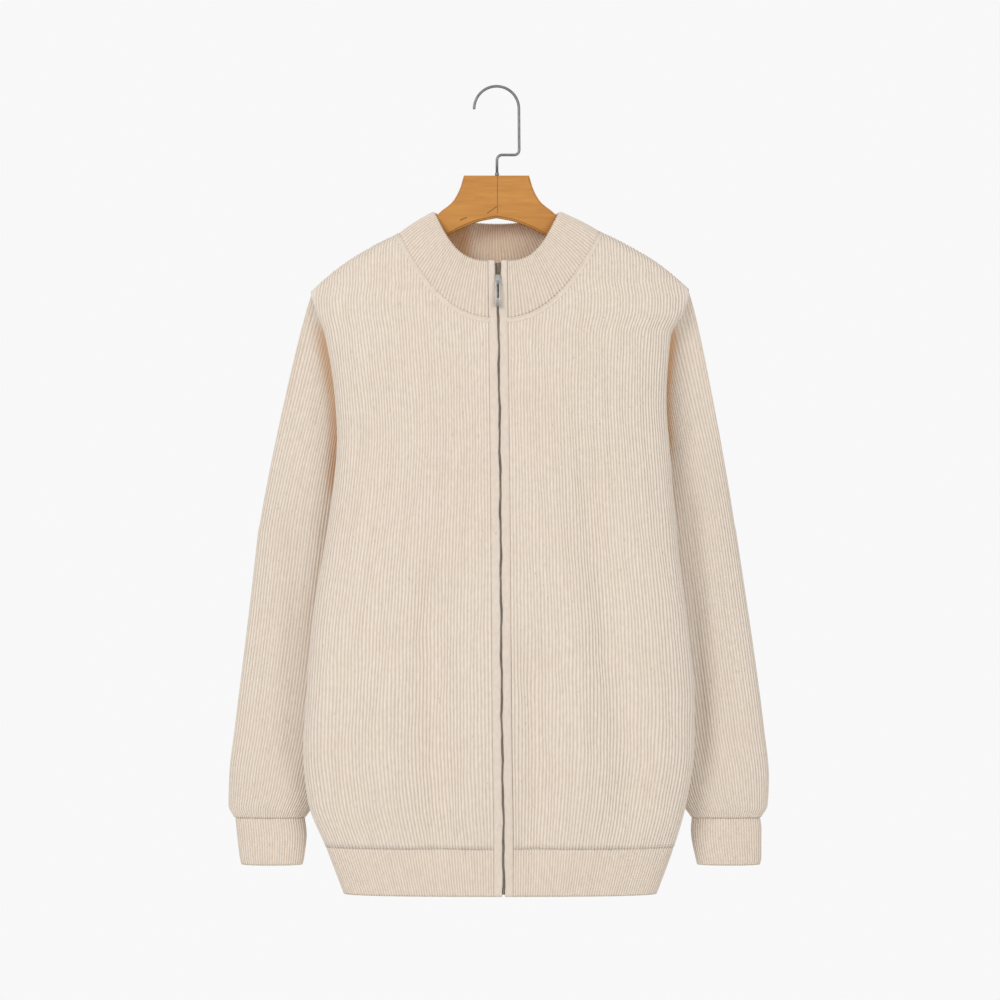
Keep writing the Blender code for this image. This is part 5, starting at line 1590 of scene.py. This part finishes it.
def knit_material(name, yarn, ribs=True, stitch_lean=1.1, stitch_relief=0.2):
    """Heathered knit: painted shade in the rib grooves and where a mesh is marked shaded, stitches in V
    shape, fuzz and flecks.
    """
    made, tree, shader = start_material(name, 0.95, specular=0.12)
    shader.inputs["Sheen Weight"].default_value = 0.22
    shader.inputs["Sheen Roughness"].default_value = 0.5
    place = tree.nodes.new("ShaderNodeUVMap")
    place.uv_map = "knit"
    split = tree.nodes.new("ShaderNodeSeparateXYZ")
    tree.links.new(place.outputs["UV"], split.inputs[0])
    across, along = split.outputs[0], split.outputs[1]
    solid = tree.nodes.new("ShaderNodeTexCoord").outputs["Object"]
    leg = math_node(tree, "ABSOLUTE", math_node(tree, "SUBTRACT", math_node(tree, "FRACT", across), 0.5))
    stitch = math_node(tree, "ADD", along, math_node(tree, "MULTIPLY", leg, stitch_lean))
    stitch = math_node(tree, "COSINE", math_node(tree, "MULTIPLY", stitch, 2 * math.pi))
    heather = noise(tree, solid, 330.0, stretch=(1.0, 1.0, 0.45))
    fuzz = noise(tree, solid, 1500.0, roughness=0.7)
    cloud = noise(tree, solid, 18.0, detail=2.0)
    base = yarn
    if ribs:
        # Painted shade darkens the rib grooves, as strongly as the ribbed mark says
        wave = math_node(tree, "COSINE", math_node(tree, "MULTIPLY", across, 2 * math.pi))
        groove = math_node(tree, "POWER", scaled(tree, wave, 0.5, 0.5), 1.6)
        groove = math_node(tree, "MULTIPLY", groove, marked(tree, "ribbed"))
        base = mix_colours(tree, scaled(tree, groove, GROOVE_SHADE_MIX), yarn, PAINTED_GROOVE_SHADE)
    mottled = scaled(tree, heather, 0.3, 0.85)
    tone = tree.nodes.new("ShaderNodeCombineColor")
    for socket in tone.inputs[:3]:
        tree.links.new(mottled, socket)
    base = mix_colours(tree, 1.0, base, tone.outputs[0], "MULTIPLY")
    base = mix_colours(tree, scaled(tree, cloud, 0.3, -0.08), base, YARN_WARM)
    spots = node(tree, "ShaderNodeTexVoronoi", Scale=220.0, Randomness=1.0)
    long_place = tree.nodes.new("ShaderNodeMapping")
    long_place.inputs["Scale"].default_value = (1.0, 1.0, 0.4)
    tree.links.new(solid, long_place.inputs["Vector"])
    tree.links.new(long_place.outputs[0], spots.inputs["Vector"])
    near = math_node(tree, "LESS_THAN", spots.outputs["Distance"], 0.15)
    rare = math_node(tree, "GREATER_THAN", spots.outputs["Color"], 0.8)
    fleck = math_node(tree, "MULTIPLY", math_node(tree, "MULTIPLY", near, rare), 0.28)
    base = mix_colours(tree, fleck, base, YARN_FLECK)
    if ribs:
        # Painted shade: a deeper, warmer brown where the shaded mark says
        base = mix_colours(tree, scaled(tree, marked(tree, "shaded"), 0.8), base, PAINTED_SHADE_BROWN)
    tree.links.new(base, shader.inputs["Base Color"])
    relief = scaled(tree, stitch, stitch_relief)
    relief = math_node(tree, "ADD", relief, scaled(tree, fuzz, 0.55))
    relief = math_node(tree, "ADD", relief, scaled(tree, heather, 0.4))
    add_bump(tree, shader, relief, 0.55, 0.0006)
    return made


def tape_material():
    """Woven cotton tape: fine crossed threads."""
    made, tree, shader = start_material("woven_tape", 0.85, specular=0.2)
    place = tree.nodes.new("ShaderNodeTexCoord").outputs["Object"]
    split = tree.nodes.new("ShaderNodeSeparateXYZ")
    tree.links.new(place, split.inputs[0])
    warp = math_node(tree, "SINE", scaled(tree, split.outputs[0], 2 * math.pi / WARP_PITCH))
    weft = math_node(tree, "SINE", scaled(tree, split.outputs[2], 2 * math.pi / WEFT_PITCH))
    weave = math_node(tree, "MULTIPLY", warp, weft)
    base = mix_colours(tree, scaled(tree, weave, 0.4, 0.5), TAPE_DARK, TAPE_LIGHT)
    tree.links.new(base, shader.inputs["Base Color"])
    add_bump(tree, shader, weave, 0.5, 0.0002)
    return made


def metal_material(name, light, dark, roughness, grain):
    """Metal with a fine grain, worn lighter and darker in small patches."""
    made, tree, shader = start_material(name, roughness, metallic=1.0)
    place = tree.nodes.new("ShaderNodeTexCoord").outputs["Object"]
    brushed = noise(tree, place, 900.0, stretch=grain)
    patches = noise(tree, place, 240.0, detail=2.0)
    mixed = math_node(tree, "MULTIPLY", scaled(tree, patches, 1.4, -0.1), scaled(tree, brushed, 0.8, 0.6))
    tree.links.new(mix_colours(tree, mixed, dark, light), shader.inputs["Base Color"])
    tree.links.new(scaled(tree, brushed, 0.2, roughness - 0.1), shader.inputs["Roughness"])
    add_bump(tree, shader, brushed, 0.12, 0.0001)
    return made


def mark_along(tree, split, start, end, width):
    """1 on a thin line between two (x, z) places of the board, in millimetres, else 0."""
    (x0, z0), (x1, z1) = start, end
    length = math.hypot(x1 - x0, z1 - z0)
    way_x, way_z = (x1 - x0) / length, (z1 - z0) / length
    x = scaled(tree, split.outputs[0], 1.0 / MM, -x0)
    z = scaled(tree, split.outputs[2], 1.0 / MM, -z0)
    along = math_node(tree, "ADD", scaled(tree, x, way_x), scaled(tree, z, way_z))
    over = math_node(tree, "SUBTRACT", scaled(tree, x, way_z), scaled(tree, z, way_x))
    over = math_node(tree, "ABSOLUTE", over)
    from_middle = math_node(tree, "ABSOLUTE", scaled(tree, along, 1.0, -length / 2))
    inside = math_node(tree, "LESS_THAN", from_middle, length / 2)
    fade = math_node(tree, "MAXIMUM", scaled(tree, over, -1.0 / width, 1.0), 0.0)
    return math_node(tree, "MULTIPLY", inside, fade)


def wood_material():
    """Clear-varnished wood whose grain runs out along both arms, joined down the middle."""
    made, tree, shader = start_material("varnished_wood", 0.42, specular=0.35)
    shader.inputs["Coat Weight"].default_value = 0.15
    shader.inputs["Coat Roughness"].default_value = 0.22
    place = tree.nodes.new("ShaderNodeTexCoord").outputs["Object"]
    grain = noise(tree, place, 260.0, detail=5.0, stretch=(0.09, 1.0, 1.0))
    broad = noise(tree, place, 60.0, detail=3.0, stretch=(0.16, 1.0, 1.0))
    pores = noise(tree, place, 1300.0, detail=2.0, stretch=(0.06, 1.0, 1.0))
    figure = math_node(tree, "ADD", scaled(tree, grain, 1.1, -0.3), scaled(tree, broad, 0.8, -0.15))
    base = mix_colours(tree, figure, WOOD_DARK, WOOD_LIGHT)
    pored = math_node(tree, "MULTIPLY", math_node(tree, "GREATER_THAN", pores, 0.64), 0.3)
    base = mix_colours(tree, pored, base, WOOD_DARK)
    split = tree.nodes.new("ShaderNodeSeparateXYZ")
    tree.links.new(place, split.inputs[0])
    lines = None
    for start, end, width, depth in WOOD_LINES:
        line = scaled(tree, mark_along(tree, split, start, end, width), depth)
        lines = line if lines is None else math_node(tree, "MAXIMUM", lines, line)
    base = mix_colours(tree, lines, base, WOOD_LINE)
    tree.links.new(base, shader.inputs["Base Color"])
    add_bump(tree, shader, math_node(tree, "SUBTRACT", scaled(tree, grain, 0.4), lines), 0.35, 0.0003)
    return made


def aim_at(lamp, target):
    """Turns a lamp to shine at a point."""
    way = Vector(target) - Vector(lamp.location)
    lamp.rotation_euler = way.to_track_quat("-Z", "Y").to_euler()


def make_stage():
    """The floor, the lights, the pale surround and the camera at the photograph's place."""
    scene = bpy.context.scene
    scene.view_settings.view_transform = "Standard"
    world = bpy.data.worlds.new("surround")
    world.use_nodes = True
    scene.world = world
    tree = world.node_tree
    seen = tree.nodes["Background"]
    seen.inputs["Color"].default_value = (0.94, 0.94, 0.94, 1.0)
    seen.inputs["Strength"].default_value = 1.0
    lit = tree.nodes.new("ShaderNodeBackground")
    lit.inputs["Color"].default_value = (0.97, 0.985, 1.0, 1.0)
    lit.inputs["Strength"].default_value = AMBIENT
    path = tree.nodes.new("ShaderNodeLightPath")
    mixed = tree.nodes.new("ShaderNodeMixShader")
    tree.links.new(path.outputs["Is Camera Ray"], mixed.inputs[0])
    tree.links.new(lit.outputs[0], mixed.inputs[1])
    tree.links.new(seen.outputs[0], mixed.inputs[2])
    tree.links.new(mixed.outputs[0], tree.nodes["World Output"].inputs["Surface"])

    for name, place, aim, size, power, tint in LIGHTS:
        light = bpy.data.lights.new(name, "AREA")
        light.size = size
        light.energy = power
        light.color = tint
        lamp = bpy.data.objects.new(name, light)
        lamp.location = place
        aim_at(lamp, aim)
        scene.collection.objects.link(lamp)

    floor = bpy.data.meshes.new("floor")
    builder = bmesh.new()
    bmesh.ops.create_circle(builder, cap_ends=True, segments=96, radius=FLOOR_RADIUS)
    builder.to_mesh(floor)
    builder.free()
    pale, _, shader = start_material("pale_floor", 0.8)
    shader.inputs["Base Color"].default_value = (0.9, 0.9, 0.9, 1.0)
    floor.materials.append(pale)
    ground = bpy.data.objects.new("floor", floor)
    ground.location = (0.0, 0.0, FLOOR_LEVEL)
    scene.collection.objects.link(ground)

    camera = bpy.data.cameras.new("camera")
    camera.lens = CAMERA_LENS
    camera.clip_end = 50.0
    eye = bpy.data.objects.new("camera", camera)
    eye.location = CAMERA_PLACE
    eye.rotation_euler = (math.pi / 2, 0.0, 0.0)
    scene.collection.objects.link(eye)
    scene.camera = eye


def main():
    plain = (1.0, 1.0, 1.0)
    materials = {
        "knit": knit_material("oatmeal_knit", YARN_LIGHT),
        "band": knit_material("oatmeal_band", YARN_BAND),
        "plain": knit_material("oatmeal_plain", YARN_PLAIN, ribs=False, stitch_relief=0.12),
        "tape": tape_material(),
        "metal": metal_material("silver_metal", *SILVER, (1.0, 1.0, 0.1)),
        "teeth": metal_material("teeth_metal", *TEETH_METAL, plain),
        "steel": metal_material("hook_steel", *HOOK_STEEL, plain),
        "wood": wood_material(),
    }
    grids = make_panels(materials)
    make_sleeves(grids, materials)
    make_cuffs(materials)
    make_hems(materials)
    make_collar(materials)
    make_neck_link(materials)
    make_plackets(materials)
    make_tapes(materials)
    make_teeth(materials)
    make_slider(materials)
    make_pull_tab(materials)
    make_board(materials)
    make_hook(materials)
    make_stage()


main()
